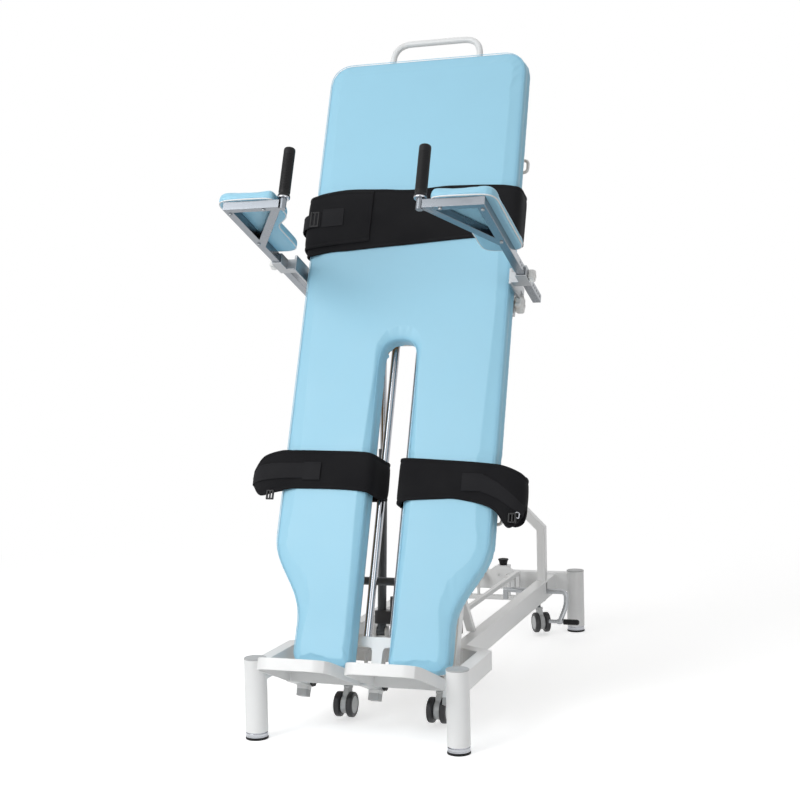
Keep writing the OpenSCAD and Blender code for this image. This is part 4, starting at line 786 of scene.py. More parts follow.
@dataclass
class Studio:
    """Camera, plain pale floor and soft light."""

    # Where the camera stands, in metres, how it is turned, in degrees, its lens and sensor, and how far it sees
    eye: tuple[float, float, float] = (1.3742, -4.4182, 1.1542)
    yaw: float = 18.4
    pitch: float = 2.79
    roll: float = -1.24
    lens: float = 63.97
    sensor: float = 36.0
    sight: float = 100.0
    floor_radius: float = 9.0
    # The floor fades into plain white between these two distances from its middle
    fade_from: float = 1.6
    fade_to: float = 3.6
    # The surround's light on the object, and the floor's own light for the eye
    sky_light: float = 0.38
    floor_lift: float = 0.5
    # Each soft box: name, place in metres, width in metres and power in watts. They face the table's middle.
    lamps: tuple[tuple[str, tuple[float, float, float], float, float], ...] = (
        ("key_left", (-3.6, -4.4, 3.8), 4.4, 88.0), ("key_front", (-1.7, -3.7, 2.7), 2.2, 66.0),
        ("fill_right", (3.4, -3.8, 1.5), 2.8, 34.0), ("top", (-0.4, -0.6, 5.6), 5.0, 26.0),
        ("rim_back", (0.6, 5.2, 3.2), 3.6, 12.0))
    middle: tuple[float, float, float] = (0, -0.2, 1.0)

    def build(self) -> None:
        """Makes the camera first, then the floor and the lights."""
        bpy.context.scene.view_settings.view_transform = "Standard"
        self.camera()
        self.floor()
        self.world()
        for name, place, size, power in self.lamps:
            self.lamp(name, place, size, power)

    def camera(self) -> None:
        """Places the camera at the photograph's viewing angle."""
        yaw, pitch, roll = (math.radians(a) for a in (self.yaw, self.pitch, self.roll))
        ahead = Vector((-math.sin(yaw) * math.cos(pitch), math.cos(yaw) * math.cos(pitch), -math.sin(pitch)))
        level = Vector((math.cos(yaw), math.sin(yaw), 0))
        upright = level.cross(ahead)
        right = level * math.cos(roll) + upright * math.sin(roll)
        up = upright * math.cos(roll) - level * math.sin(roll)
        camera = bpy.data.objects.new("camera", bpy.data.cameras.new("camera"))
        bpy.context.scene.collection.objects.link(camera)
        camera.data.lens = self.lens
        camera.data.sensor_width = self.sensor
        camera.data.clip_end = self.sight
        camera.matrix_world = Matrix.Translation(self.eye) @ Matrix((right, up, -ahead)).transposed().to_4x4()
        bpy.context.scene.camera = camera

    def floor(self) -> None:
        """Lays a white floor, which keeps the shadows and runs out into the white background."""
        bm = bmesh.new()
        bmesh.ops.create_circle(bm, cap_ends=True, segments=96, radius=self.floor_radius)
        mesh = bpy.data.meshes.new("floor")
        bm.to_mesh(mesh)
        bm.free()
        floor = link("floor", mesh)
        material = bpy.data.materials.new("seamless_paper_white")
        material.use_nodes = True
        tree = material.node_tree
        tree.nodes.clear()
        place = add_node(tree, "ShaderNodeTexCoord").outputs["Object"]
        far = add_node(tree, "ShaderNodeVectorMath", {0: place}, operation="LENGTH")
        fade = add_node(tree, "ShaderNodeMapRange", {"Value": far.outputs["Value"]},
                        {"From Min": self.fade_from, "From Max": self.fade_to}, interpolation_type="SMOOTHSTEP")
        paper = add_node(tree, "ShaderNodeBsdfDiffuse", values={"Color": linear("#F7F7F7")})
        seen = self.seen(tree)
        lift = add_node(tree, "ShaderNodeMath", {0: seen}, {1: self.floor_lift}, operation="MULTIPLY")
        glow = add_node(tree, "ShaderNodeEmission", {"Strength": lift.outputs["Value"]}, {"Color": PURE_WHITE})
        near = add_node(tree, "ShaderNodeAddShader", {0: paper.outputs[0], 1: glow.outputs[0]})
        white = add_node(tree, "ShaderNodeEmission", {"Strength": seen}, {"Color": PURE_WHITE})
        mix = add_node(tree, "ShaderNodeMixShader",
                       {0: fade.outputs["Result"], 1: near.outputs[0], 2: white.outputs[0]})
        add_node(tree, "ShaderNodeOutputMaterial", {"Surface": mix.outputs[0]})
        mesh.materials.append(material)

    def seen(self, tree: Tree) -> Socket:
        """Tells the rays that show a surface from those that light one.

        Args:
            tree: the node tree of a material or the world.

        Returns:
            The output that is one for camera, mirror and see-through rays, and zero for the rest.
        """
        rays = add_node(tree, "ShaderNodeLightPath")
        first = add_node(tree, "ShaderNodeMath", {0: rays.outputs["Is Camera Ray"], 1: rays.outputs["Is Glossy Ray"]},
                         operation="MAXIMUM")
        return add_node(tree, "ShaderNodeMath", {0: first.outputs["Value"], 1: rays.outputs["Is Transmission Ray"]},
                        operation="MAXIMUM").outputs["Value"]

    def world(self) -> None:
        """Makes a white surround for the eye and for reflections, and a weaker even light on the object."""
        world = bpy.data.worlds.new("studio")
        bpy.context.scene.world = world
        world.use_nodes = True
        tree = world.node_tree
        tree.nodes.clear()
        strength = add_node(tree, "ShaderNodeMapRange", {"Value": self.seen(tree)},
                            {"To Min": self.sky_light, "To Max": 1.0})
        sky = add_node(tree, "ShaderNodeBackground", {"Strength": strength.outputs["Result"]}, {"Color": PURE_WHITE})
        add_node(tree, "ShaderNodeOutputWorld", {"Surface": sky.outputs[0]})

    def lamp(self, name: str, place: tuple[float, float, float], size: float, power: float) -> None:
        """Adds one square soft box that faces the table's middle.

        Args:
            name: the lamp's name.
            place: where it stands, in metres.
            size: its width, in metres.
            power: its power, in watts.
        """
        light = bpy.data.lights.new(name, "AREA")
        light.shape, light.size, light.energy = "SQUARE", size, power
        lamp = bpy.data.objects.new(name, light)
        bpy.context.scene.collection.objects.link(lamp)
        lamp.location = place
        lamp.rotation_euler = (Vector(self.middle) - Vector(place)).to_track_quat("-Z", "Y").to_euler()


# ---------------------------------------------------------------- steelwork


@dataclass
class Steelwork:
    """The welded, cut and turned parts that keep the frame's own shape, with rounded edges."""

    # How far edges are rounded: rolled beams, bent tubes, cut plates, thin walls, turned parts and housings
    beam_edge: float = 2.6
    tube_edge: float = 2.4
    plate_edge: float = 1.3
    thin_edge: float = 1.0
    small_edge: float = 1.1
    cap_edge: float = 1.5
    motor_edge: float = 2.5
    box_edge: float = 3.0

    def build(self) -> None:
        """Dresses each node of the steelwork."""
        for node in ("front_arms", "front_cross_beam", "side_beams", "mid_cross_tube", "rear_beam", "rear_arch",
                     "castor_beams", "pivot_frames", "link_bar"):
            dress_node(node, WHITE_STEEL, self.beam_edge)
        for node in ("side_tubes", "foot_frame", "cross_members"):
            dress_node(node, WHITE_STEEL, self.tube_edge)
        for side in Side:
            dress_node("footplate_" + side.word, WHITE_STEEL, self.plate_edge)
            dress_node("arm_clamp_" + side.word, ZINC, self.plate_edge)
            dress_node("arm_frame_" + side.word, STAINLESS, self.thin_edge)
        dress_node("side_rails", ZINC, self.thin_edge)
        dress_node("pivot_shaft", DARK_STEEL, self.small_edge)
        dress_node("pivot_bushes", BRONZE, 0.0)
        dress_node("tube_caps", GREY_ABS, self.cap_edge)
        dress_node("strap_rods", CHROME, 0.0)
        dress_node("control_box", BLACK_ABS, self.box_edge)
        dress_node("actuator_tube", DARK_STEEL, self.small_edge)
        dress_node("actuator_motor", DARK_ABS, self.motor_edge)
        dress_node("actuator_rod", CHROME, self.small_edge)
        dress_node("board", BIRCH, self.thin_edge)


@dataclass
class Columns:
    """The four columns: painted tube, grey cap, chrome glide ring and rubber glide pad."""

    half_track: float = 300.0
    wheelbase: float = 1617.0
    radius: float = 32.5
    height: float = 233.0

    def build(self) -> None:
        """Turns the four parts for all columns."""
        r, top = self.radius, self.height
        tube = [(r - 2.5, 22), (r - 0.4, 22), (r, 22.6), (r, top - 4.6), (r - 0.4, top - 4), (r - 2.5, top - 4)]
        cap = [(0, top - 17), (r - 2.6, top - 17), (r - 2.6, top - 4), (r - 0.8, top - 4), (r - 0.8, top - 3.2),
               (r - 0.1, top - 3.1), (r, top - 2.6), (r, top - 1.2), (r - 0.4, top - 0.5), (r - 1.4, top),
               (r - 4.5, top), (r - 5.2, top - 0.7), (r - 6, top - 0.7), (r - 7, top - 0.2), (0, top)]
        ring = [(0, 7), (r - 1.2, 7), (r - 0.5, 7.7), (r - 0.5, 9.6), (r - 1.1, 10.2), (r - 1.1, 11), (r - 0.5, 11.6),
                (r - 0.5, 17.9), (r - 1.4, 19), (r - 2.6, 19), (r - 2.6, 42), (0, 42)]
        foot = [(0, 0), (r - 1.2, 0), (r + 0.3, 0.9), (r + 0.5, 2), (r + 0.5, 5.6), (r - 0.2, 6.8), (r - 2, 7),
                (0, 7)]
        parts = {"columns": (tube, WHITE_STEEL, True), "column_caps": (cap, GREY_ABS, False),
                 "glide_rings": (ring, CHROME, False), "glide_pads": (foot, BLACK_RUBBER, False)}
        for node, (profile, finish, loop) in parts.items():
            shape = Shape()
            for x in (-self.half_track, self.half_track):
                for y in (0, self.wheelbase):
                    shape.lathe(profile, (x, y, 0), steps=96, loop=loop)
            add_piece(node + "_turned", shape, BASE, finish, "base", [node], smooth=30)


@dataclass
class Stops:
    """The conical buffer on the rear beam and the rest pads on the arch."""

    buffer_x: float = 20.0
    buffer_z: float = 244.0
    wheelbase: float = 1617.0
    # The arch's half width, and the pads' ends, lengths and heights on it, with the ribs that stand out of them
    arch_half: float = 133.0
    pad_end: float = 12.0
    pad_length: float = 60.0
    pad_front: float = 1441.0
    pad_back: float = 1479.0
    pad_low: float = 502.0
    pad_high: float = 514.7
    ribs: int = 5
    rib_pitch: float = 11.5
    rib_wide: float = 6.5

    def build(self) -> None:
        """Turns the buffer with its flange and lays the two ribbed pads."""
        cone = [(0, 0), (13.4, 0), (14, 0.6), (14.6, 3), (17.2, 16), (19.6, 18), (20, 19.5), (20, 21.8), (19, 23.4),
                (17, 24), (9, 24), (8, 22.6), (0, 22.6)]
        shape = Shape().lathe(cone, (self.buffer_x, self.wheelbase, self.buffer_z), steps=64)
        outer = self.arch_half - self.pad_end
        for side in (-1, 1):
            a, b = sorted((side * (outer - self.pad_length), side * outer))
            shape.brick((a, self.pad_front, self.pad_low), (b, self.pad_back, self.pad_high - 2))
            for i in range(self.ribs):
                x = a + 4 + i * self.rib_pitch
                shape.brick((x, self.pad_front + 1, self.pad_high - 2.2),
                            (x + self.rib_wide, self.pad_back - 1, self.pad_high))
        add_piece("rubber_stops_moulded", shape, BASE, BLACK_RUBBER, "base", ["rubber_stops"], edge=0.6)


@dataclass
class Castor:
    """One twin-wheel castor: a moulded hood with its collar, a steel stem, two treads on an axle, and hub discs."""

    key: str
    x: float
    y: float
    # How far it is swivelled, in degrees
    turn: float
    stem_top: float = 139.0
    trail: float = 24.0
    axle_z: float = 47.5
    wheel_r: float = 37.5
    hood_r: float = 27.0

    def build(self) -> None:
        """Makes the hood, the stem, the treads and the hub discs."""
        space = BASE @ Matrix.Translation((self.x, self.y, 0)) @ Matrix.Rotation(math.radians(self.turn), 4, "Z")
        body, wheels = "castor_" + self.key, "castor_wheels_" + self.key
        # The hood's round edge starts beside the stem and goes round the wheels
        start, sweep, parts = 100, 250, 32
        outline = []
        for i in range(parts + 1):
            a = math.radians(start + i * sweep / parts)
            outline.append((-self.trail + self.hood_r * math.cos(a), self.axle_z + self.hood_r * math.sin(a)))
        outline += [(10, 66), (12.5, 84), (12.5, 97), (-10, 97.5), (-22, 86)]
        fork = Shape().layers(outline, [(3, -9.5), (0.8, -8.6), (0, -7), (0, 7), (0.8, 8.6), (3, 9.5)],
                              lambda y, z, x: (x, y, z))
        fork.lathe([(0, 91), (13, 91), (14, 92), (14, 98.6), (13, 100), (0, 100)], steps=48)
        add_piece(body + "_body", fork, space, SILVER_ABS, body, ["castor_fork_" + self.key], smooth=32)
        stem = Shape().lathe([(0, 99), (6, 99), (6, self.stem_top), (0, self.stem_top)], steps=32)
        add_piece(body + "_stem", stem, space, DARK_STEEL, body, smooth=32)
        tread, hub = Shape(), Shape()
        r = self.wheel_r
        for side in (-1, 1):
            tread.lathe([(0, 0), (r - 6, 0), (r - 3, 0.8), (r - 0.8, 2.6), (r, 5), (r, 14), (r - 0.8, 16.4),
                         (r - 3, 18.2), (r - 6, 19), (27, 19), (26, 17.4), (0, 17.4)],
                        (side * 10, -self.trail, self.axle_z), (side, 0, 0), 64)
            hub.lathe([(0, 16), (25, 16), (25.4, 18), (24.6, 18.8), (22, 18.9), (20.5, 17.9), (9, 17.6), (8, 18.9),
                       (0, 19)], (side * 10, -self.trail, self.axle_z), (side, 0, 0), 48)
        tread.lathe([(0, -10.5), (4, -10.5), (4, 10.5), (0, 10.5)], (0, -self.trail, self.axle_z), (1, 0, 0), 24)
        add_piece(wheels + "_treads", tread, space, CASTOR_TREAD, wheels, [wheels], smooth=32)
        add_piece(wheels + "_hubs", hub, space, SILVER_ABS, wheels, smooth=32)


@dataclass
class Pedal:
    """The bent pedal tube through the right beam, its cross bar and ribbed grip."""

    y: float = 1445.0
    foot_y: float = 1422.0
    foot_z: float = 73.0

    def build(self) -> None:
        """Bends the tube, welds the bar and pushes the grip on."""
        path = round_path([(63, self.y, 180), (300, self.y, 180), (300, self.y, 130),
                           (280, self.foot_y, self.foot_z)], 20, 10)
        bar = Shape().tube(path, 9, 32)
        bar.tube([(x, self.foot_y, self.foot_z) for x in (240, 241, 341.5)], 7, 28)
        bar.lathe([(0, -10), (9, -9.2), (10.2, -5), (9.6, 4), (7, 9), (0, 9.4)], (280, self.foot_y, self.foot_z),
                  (1, 0, 0), 32)
        bar.brick((63, self.y - 9, 146), (79, self.y + 9, 180))
        add_piece("pedal_bar_bent", bar, BASE, ZINC, "pedal", ["pedal_bar"], smooth=40)
        grip = [(7.1, 0), (9.6, 0), (10.5, 0.8)]
        ribs, pitch = 9, 4.8
        for i in range(ribs):
            grip += [(10.5, 3 + pitch * i), (9.8, 3.8 + pitch * i), (9.8, 5.2 + pitch * i), (10.5, 6 + pitch * i)]
        grip += [(10.5, 49), (9.2, 54), (6, 57.2), (0, 58)]
        add_piece("pedal_grip_ribbed", Shape().lathe(grip, (294, self.foot_y, self.foot_z), (1, 0, 0), 40), BASE,
                  BLACK_RUBBER, "pedal", ["pedal_grip"], smooth=50)


def lobed(head_d: float, head_h: float, lobes: int, centre: Sequence[float], stem: float, neck: float = 0.0) -> Shape:
    """Makes a star knob that faces +X.

    Args:
        head_d: diameter over its lobes.
        head_h: height of its head.
        lobes: how many lobes it has.
        centre: the middle of the head's lower face.
        stem: length of its stem below the head.
        neck: height of the neck under the head.

    Returns:
        The knob's shape.
    """
    x, y, z = centre
    big, steps = head_d / 2, lobes * 12

    def ring(height: float, grow: float) -> list[tuple]:
        """Draws one ring of the head.

        Args:
            height: how far above the centre it is.
            grow: how much wider than the head it is.

        Returns:
            The ring's points.
        """
        turn = [2 * math.pi * i / steps for i in range(steps)]
        radii = [(big + grow) * (0.87 + 0.13 * math.cos(lobes * a)) for a in turn]
        return [(x + height, y + r * math.cos(a), z + r * math.sin(a)) for r, a in zip(radii, turn)]

    # Heights as shares of the head's, and how far each ring is drawn in as a share of its radius
    profile = ((0, 0.14), (0.06, 0.05), (0.2, 0), (0.72, 0), (0.9, 0.06), (1, 0.2), (1, 0.5), (0.93, 0.56),
               (0.93, 0.9))
    knob = Shape().loft([ring(neck + share * head_h, -depth * big) for share, depth in profile])
    if neck:
        knob.lathe([(0, 0), (0.33 * big, 0), (0.33 * big, neck + 1), (0, neck + 1)], centre, (1, 0, 0), 32)
    return knob.lathe([(0, -stem), (3.6, -stem), (4, 0.6 - stem), (4, 1), (0, 1)], centre, (1, 0, 0), 24)


# ---------------------------------------------------------------- soft goods

# The foam's push on its cover, the cover's stiffness, the solver's steps per frame, and how many frames it takes
FOAM_PRESSURE, COVER_STIFFNESS, SOLVER_STEPS, SWELL_FRAMES = 4.0, 25.0, 4, 20


def coords(mesh: bpy.types.Mesh, space: Matrix) -> np.ndarray:
    """Reads a mesh's points.

    Args:
        mesh: the mesh.
        space: the space that they are wanted in.

    Returns:
        The points in that space's millimetres, one per row.
    """
    flat = np.zeros(len(mesh.vertices) * 3)
    mesh.vertices.foreach_get("co", flat)
    m = np.array(space.inverted())
    return flat.reshape(-1, 3) @ m[:3, :3].T + m[:3, 3]


def put_coords(mesh: bpy.types.Mesh, space: Matrix, points: np.ndarray) -> None:
    """Sets a mesh's points.

    Args:
        mesh: the mesh.
        space: the space that the points are in.
        points: the points in that space's millimetres, one per row.
    """
    m = np.array(space)
    mesh.vertices.foreach_set("co", (points @ m[:3, :3].T + m[:3, 3]).ravel())
    mesh.update()


def inflate(obj: bpy.types.Object, space: Matrix, pinned: np.ndarray, cap: float, hold: np.ndarray) -> None:
    """Lets the cover swell under the foam's pressure, and keeps the result.

    Args:
        obj: the cover, a closed mesh.
        space: the space whose millimetres cap is in.
        pinned: which points lie on the board and stay.
        cap: how far a point may move, in millimetres.
        hold: the share of its move that each point makes.
    """
    group = obj.vertex_groups.new(name="board")
    group.add([int(i) for i in np.flatnonzero(pinned)], 1.0, "REPLACE")
    cloth = obj.modifiers.new("foam", "CLOTH")
    cloth.settings.quality = SOLVER_STEPS
    cloth.settings.use_pressure = True
    cloth.settings.uniform_pressure_force = FOAM_PRESSURE
    cloth.settings.effector_weights.gravity = 0.0
    cloth.settings.vertex_group_mass = group.name
    cloth.settings.tension_stiffness = cloth.settings.compression_stiffness = COVER_STIFFNESS
    cloth.collision_settings.use_collision = False
    before = coords(obj.data, space)
    scene = bpy.context.scene
    for number in range(1, SWELL_FRAMES + 1):
        scene.frame_set(number)
    graph = bpy.context.evaluated_depsgraph_get()
    after = coords(obj.evaluated_get(graph).data, space)
    obj.modifiers.remove(cloth)
    scene.frame_set(1)
    move = after - before
    far = np.linalg.norm(move, axis=1)
    move *= (hold * np.minimum(1.0, cap / np.maximum(far, TINY)))[:, None]
    put_coords(obj.data, space, before + move)
    log.info("%s swelled by up to %.1f mm", obj.name, float(np.linalg.norm(move, axis=1).max()))


def remeshed(name: str, node: str, voxel: float, smooth: int) -> bpy.types.Object:
    """Copies a soft node's form into a new object with an even mesh.

    Args:
        name: the new object's name.
        node: the node that gives the form.
        voxel: the mesh's size, in millimetres.
        smooth: how often the mesh is evened out.

    Returns:
        The new object.
    """
    obj = link(name, frame["nodes"][node].data.copy())
    even = obj.modifiers.new("even", "REMESH")
    even.mode, even.voxel_size, even.use_smooth_shade = "VOXEL", voxel * MM, True
    soft = obj.modifiers.new("soft", "SMOOTH")
    soft.factor, soft.iterations = 0.5, smooth
    return settle(obj)


def finer(obj: bpy.types.Object) -> bpy.types.Object:
    """Adds one subdivision and keeps it.

    Args:
        obj: the object.

    Returns:
        The same object, with its final mesh.
    """
    more = obj.modifiers.new("finer", "SUBSURF")
    more.levels = more.render_levels = 1
    return settle(obj)


def slice_loop(mesh: bpy.types.Mesh, space: Matrix, axis: int, height: float, spacing: float) -> list[Pair]:
    """Cuts a mesh and returns the outline of the cut.

    Args:
        mesh: the mesh to cut.
        space: the space that the cut lies in.
        axis: the space's axis that the cut is square to, 1 or 2.
        height: where the cut is on that axis, in millimetres.
        spacing: distance between the outline's points.

    Returns:
        The longest outline, counter-clockwise, as pairs of the two other coordinates.
    """
    way = Vector([1.0 if i == axis else 0.0 for i in range(3)])
    bm = bmesh.new()
    bm.from_mesh(mesh)
    bm.transform(space.inverted())
    cut = bmesh.ops.bisect_plane(bm, geom=bm.verts[:] + bm.edges[:] + bm.faces[:], plane_co=way * height,
                                 plane_no=way, dist=1e-5)["geom_cut"]
    edges = [e for e in cut if isinstance(e, bmesh.types.BMEdge)]
    open_edges = set(edges)
    best: list[Vector] = []
    for start in edges:
        if start not in open_edges:
            continue
        open_edges.discard(start)
        first, here = start.verts
        line = [first.co.copy(), here.co.copy()]
        while here is not first:
            step = next((e for e in here.link_edges if e in open_edges), None)
            if step is None:
                break
            open_edges.discard(step)
            here = step.other_vert(here)
            line.append(here.co.copy())
        if len(line) > len(best):
            best = line
    bm.free()
    flat = np.array([(p[0], p[3 - axis]) for p in best[:-1]])
    area = np.sum(flat[:, 0] * np.roll(flat[:, 1], -1) - flat[:, 1] * np.roll(flat[:, 0], -1))
    flat = flat if area > 0 else flat[::-1]
    closed = np.vstack([flat, flat[:1]])
    run = np.concatenate([[0], np.cumsum(np.linalg.norm(np.diff(closed, axis=0), axis=1))])
    at = np.linspace(0, run[-1], max(8, int(run[-1] / spacing)), endpoint=False)
    even = np.stack([np.interp(at, run, closed[:, i]) for i in range(2)], axis=1)
    for _ in range(2):
        even = (np.roll(even, 1, 0) + 2 * even + np.roll(even, -1, 0)) / 4
    return [tuple(p) for p in even]


def near_line(points: np.ndarray, a: Pair, b: Pair, width: float) -> np.ndarray:
    """Tells how near each point of a plan lies to a line, fading out at the line's ends.

    Args:
        points: the plan's points, one per row.
        a: the line's start.
        b: its end.
        width: how far to its side the line reaches.

    Returns:
        A share for each point, from one on the line's middle down to zero.
    """
    start, way = np.array(a, float), np.array(b, float) - np.array(a, float)
    share = np.clip((points - start) @ way / (way @ way), 0, 1)
    gap = np.linalg.norm(points - (start + share[:, None] * way), axis=1)
    # It fades towards both ends, where a quarter of it is left
    return np.exp(-(gap / width) ** 2) * np.sin(np.pi * (0.08 + 0.84 * share))


@dataclass
class Padding:
    """The padded top: foam under a stretched vinyl cover, its seam, and the cover's stapled margin on the board."""

    voxel: float = 7.0
    # How far the cover may swell, how far its front is drawn back before that, and the depth that it keeps behind
    cap: float = 5.0
    drawn_back: float = 1.4
    front_limit: float = -3.2
    half_width: float = 341.0
    # Behind this depth the cover lies on the board and stays, and over this length it comes free
    held_behind: float = 46.0
    free_over: float = 12.0
    # Where the cover is cut for its outline, which the seam then follows this far inside on its front
    seam_behind: float = 13.0
    seam_inside: float = 2.5
    seam_n: float = 2.3
    # Lower and upper edges of the belts, how far they sink in at the front and at the sides, and over what length
    belts: tuple[Pair, ...] = ((1508, 1716), (728, 846))
    belt_front: float = 1.6
    belt_side: float = 1.8
    belt_fade: float = 14.0
    # Creases in the cover: both ends across and along the bed, depth and width
    creases: tuple[tuple[Pair, Pair, float, float], ...] = (
        ((-30, 1213), (-74, 1307), 1.6, 7), ((30, 1213), (66, 1315), 1.7, 7),
        ((-4, 1217), (-8, 1299), 1.1, 8), ((52, 1182), (118, 1239), 1.2, 7),
        ((-52, 1182), (-124, 1245), 1.2, 7), ((14, 1219), (30, 1277), 1.0, 6),
        ((300, 1392), (205, 1436), 1.7, 8), ((312, 1350), (232, 1366), 1.1, 7),
        ((-312, 1452), (-238, 1424), 1.2, 8), ((-300, 1740), (-210, 1762), 1.0, 9),
        ((290, 1742), (214, 1772), 1.2, 9), ((250, 1490), (150, 1470), 1.0, 10))

    def build(self) -> None:
        """Makes the cover, swells it, then presses in the belts and draws the creases, the seam and the margin."""
        pad = remeshed("padding_cover", "pad", self.voxel, 2)
        place = coords(pad.data, BED)
        place[:, 1] += np.where(place[:, 1] < 20, self.drawn_back, 0)
        put_coords(pad.data, BED, place)
        front = np.clip((self.held_behind - place[:, 1]) / self.free_over, 0, 1)
        inflate(pad, BED, place[:, 1] > self.held_behind, self.cap, front)
        finer(pad)
        self.press(pad)
        dress(pad, BLUE_VINYL, "bed", ["pad"], smooth=180, weighted=False)
        self.seam(pad)
        self.margin()

    def press(self, pad: bpy.types.Object) -> None:
        """Presses the belts into the cover, draws its creases, and keeps it within the space of its solid.

        Args:
            pad: the cover.
        """
        p = coords(pad.data, BED)
        # One on the front, fading to nothing round its edge
        face = np.clip((16 - p[:, 1]) / 14, 0, 1)
        for low, high in self.belts:
            under = np.clip(np.minimum(p[:, 2] - low, high - p[:, 2]) / self.belt_fade + 0.5, 0, 1)
            under = under * under * (3 - 2 * under)
            p[:, 1] += self.belt_front * under * face
            p[:, 0] -= np.sign(p[:, 0]) * self.belt_side * under * (np.abs(p[:, 0]) > self.half_width - 16)
        plan = p[:, [0, 2]]
        for a, b, depth, width in self.creases:
            # A crease is a valley with a lower ridge beside it
            line = near_line(plan, a, b, width)
            ridge = near_line(plan, (a[0] + width, a[1] + width), (b[0] + width, b[1] + width), width * 1.4)
            p[:, 1] += face * (depth * line - 0.45 * depth * ridge)
        p[:, 1] = np.maximum(p[:, 1], self.front_limit)
        p[:, 0] = np.clip(p[:, 0], -self.half_width, self.half_width)
        put_coords(pad.data, BED, p)

    def seam(self, pad: bpy.types.Object) -> None:
        """Lays the welt of the seam between the cover's front and its border.

        Args:
            pad: the cover.
        """
        loop = slice_loop(pad.data, BED, 1, self.seam_behind, 9.0)
        welt = Shape().tube([(x, self.seam_n, u) for x, u in inset(loop, self.seam_inside)], 1.0, 8, loop=True)
        add_piece("padding_seam", welt, BED, BLUE_VINYL, "bed", smooth=180, weighted=False)

    def margin(self) -> None:
        """Folds the cover over the board's rear edge and staples it."""
        board = slice_loop(frame["nodes"]["board"].data, BED, 1, 66.0, 4.0)
        fold = ((-2.0, 50), (-2.0, 72.8), (-0.4, 74), (15, 74), (15, 73.2), (0.2, 73.2), (0.2, 50))
        rings = [[(x, n, u) for x, u in inset(board, d)] for d, n in fold]
        add_piece("cover_margin", Shape().loft(rings, loop=True), BED, BLUE_VINYL, "bed", smooth=50, weighted=False)
        staples = Shape()
        line = inset(board, 9)
        pitch, tube_x, hidden, centre_tube_top = 10, 224, 24, 290
        for i in range(0, len(line), pitch):
            (x, u), (bx, bu) = line[i], line[(i + 1) % len(line)]
            # No staples where the bed's tubes lie on the board
            if abs(abs(x) - tube_x) < hidden or (abs(x) < hidden and u < centre_tube_top):
                continue
            way = Vector((bx - x, 0, bu - u)).normalized() * 5
            staples.tube([Vector((x, 73.6, u)) - way, Vector((x, 74.4, u)) - way, Vector((x, 74.4, u)) + way,
                          Vector((x, 73.6, u)) + way], 0.6, 6)
        add_piece("cover_staples", staples, BED, ZINC, "bed", smooth=40, weighted=False)


# Across a belt: distance from its edge and height of its outer face. The binding is a low bead, then its stitch
# groove, then the padded middle.
BELT_SECTION = ((0.0, 1.2), (0.7, 3.2), (3.0, 4.4), (9.0, 4.5), (10.5, 3.4), (12.5, 3.6), (20.0, 4.9), (36.0, 5.6))
TAPE_SECTION = ((0.0, 0.5), (0.5, 1.8), (2.5, 2.3), (4.0, 1.9), (8.0, 2.1))


def strap(keys: Keys, section: Outline, loop: bool = False, spacing: float = 7.0, wave: float = 0.5) -> Shape:
    """Lays a flat strap on its inner side along a line round the bed.

    Args:
        keys: across, behind the front, lower edge and upper edge at places along the strap.
        section: distance from an edge and height of the outer face, from the edge to the middle.
        loop: the strap is closed.
        spacing: distance between its rings.
        wave: how much it ripples, in millimetres.

    Returns:
        The strap's shape, with its cloth laid out in metres.
    """
    line = catmull(keys, spacing, loop)
    count = len(line)
    shape = Shape()
    run, rings, marks = 0.0, [], []
    for i, (x, n, low, high) in enumerate(line):
        ahead = line[(i + 1) % count] if loop else line[min(i + 1, count - 1)]
        behind = line[i - 1] if loop else line[max(i - 1, 0)]
        dx, dn = ahead[0] - behind[0], ahead[1] - behind[1]
        size = math.hypot(dx, dn) or 1.0
        out = (dn / size, -dx / size)
        if i:
            run += math.hypot(x - line[i - 1][0], n - line[i - 1][1])
        middle = (low + high) / 2
        half = (high - low) / 2
        rows = ([(low + min(d, half), h) for d, h in section]
                + [(high - min(d, half), h) for d, h in reversed(section)])
        # Uneven ripples of some 15 and 36 cm, only on the padded part
        rows = [(u, h + wave * math.sin(run / 23 + u / 31) * math.sin(run / 57 + 1.3) * (h > 3)) for u, h in rows]
        back = [(high - 1.0, 0.2), (middle + half / 2, 0.0), (middle, 0.0), (middle - half / 2, 0.0),
                (low + 1.0, 0.2)]
        rings.append([(x + out[0] * h, n + out[1] * h, u) for u, h in rows + back])
        marks.append([(run * MM, u * MM) for u, _ in rows + back])
    shape.loft(rings, loop=loop)
    for k, row in enumerate(marks):
        for i, mark in enumerate(row):
            shape.cloth[k * len(row) + i] = mark
    return shape


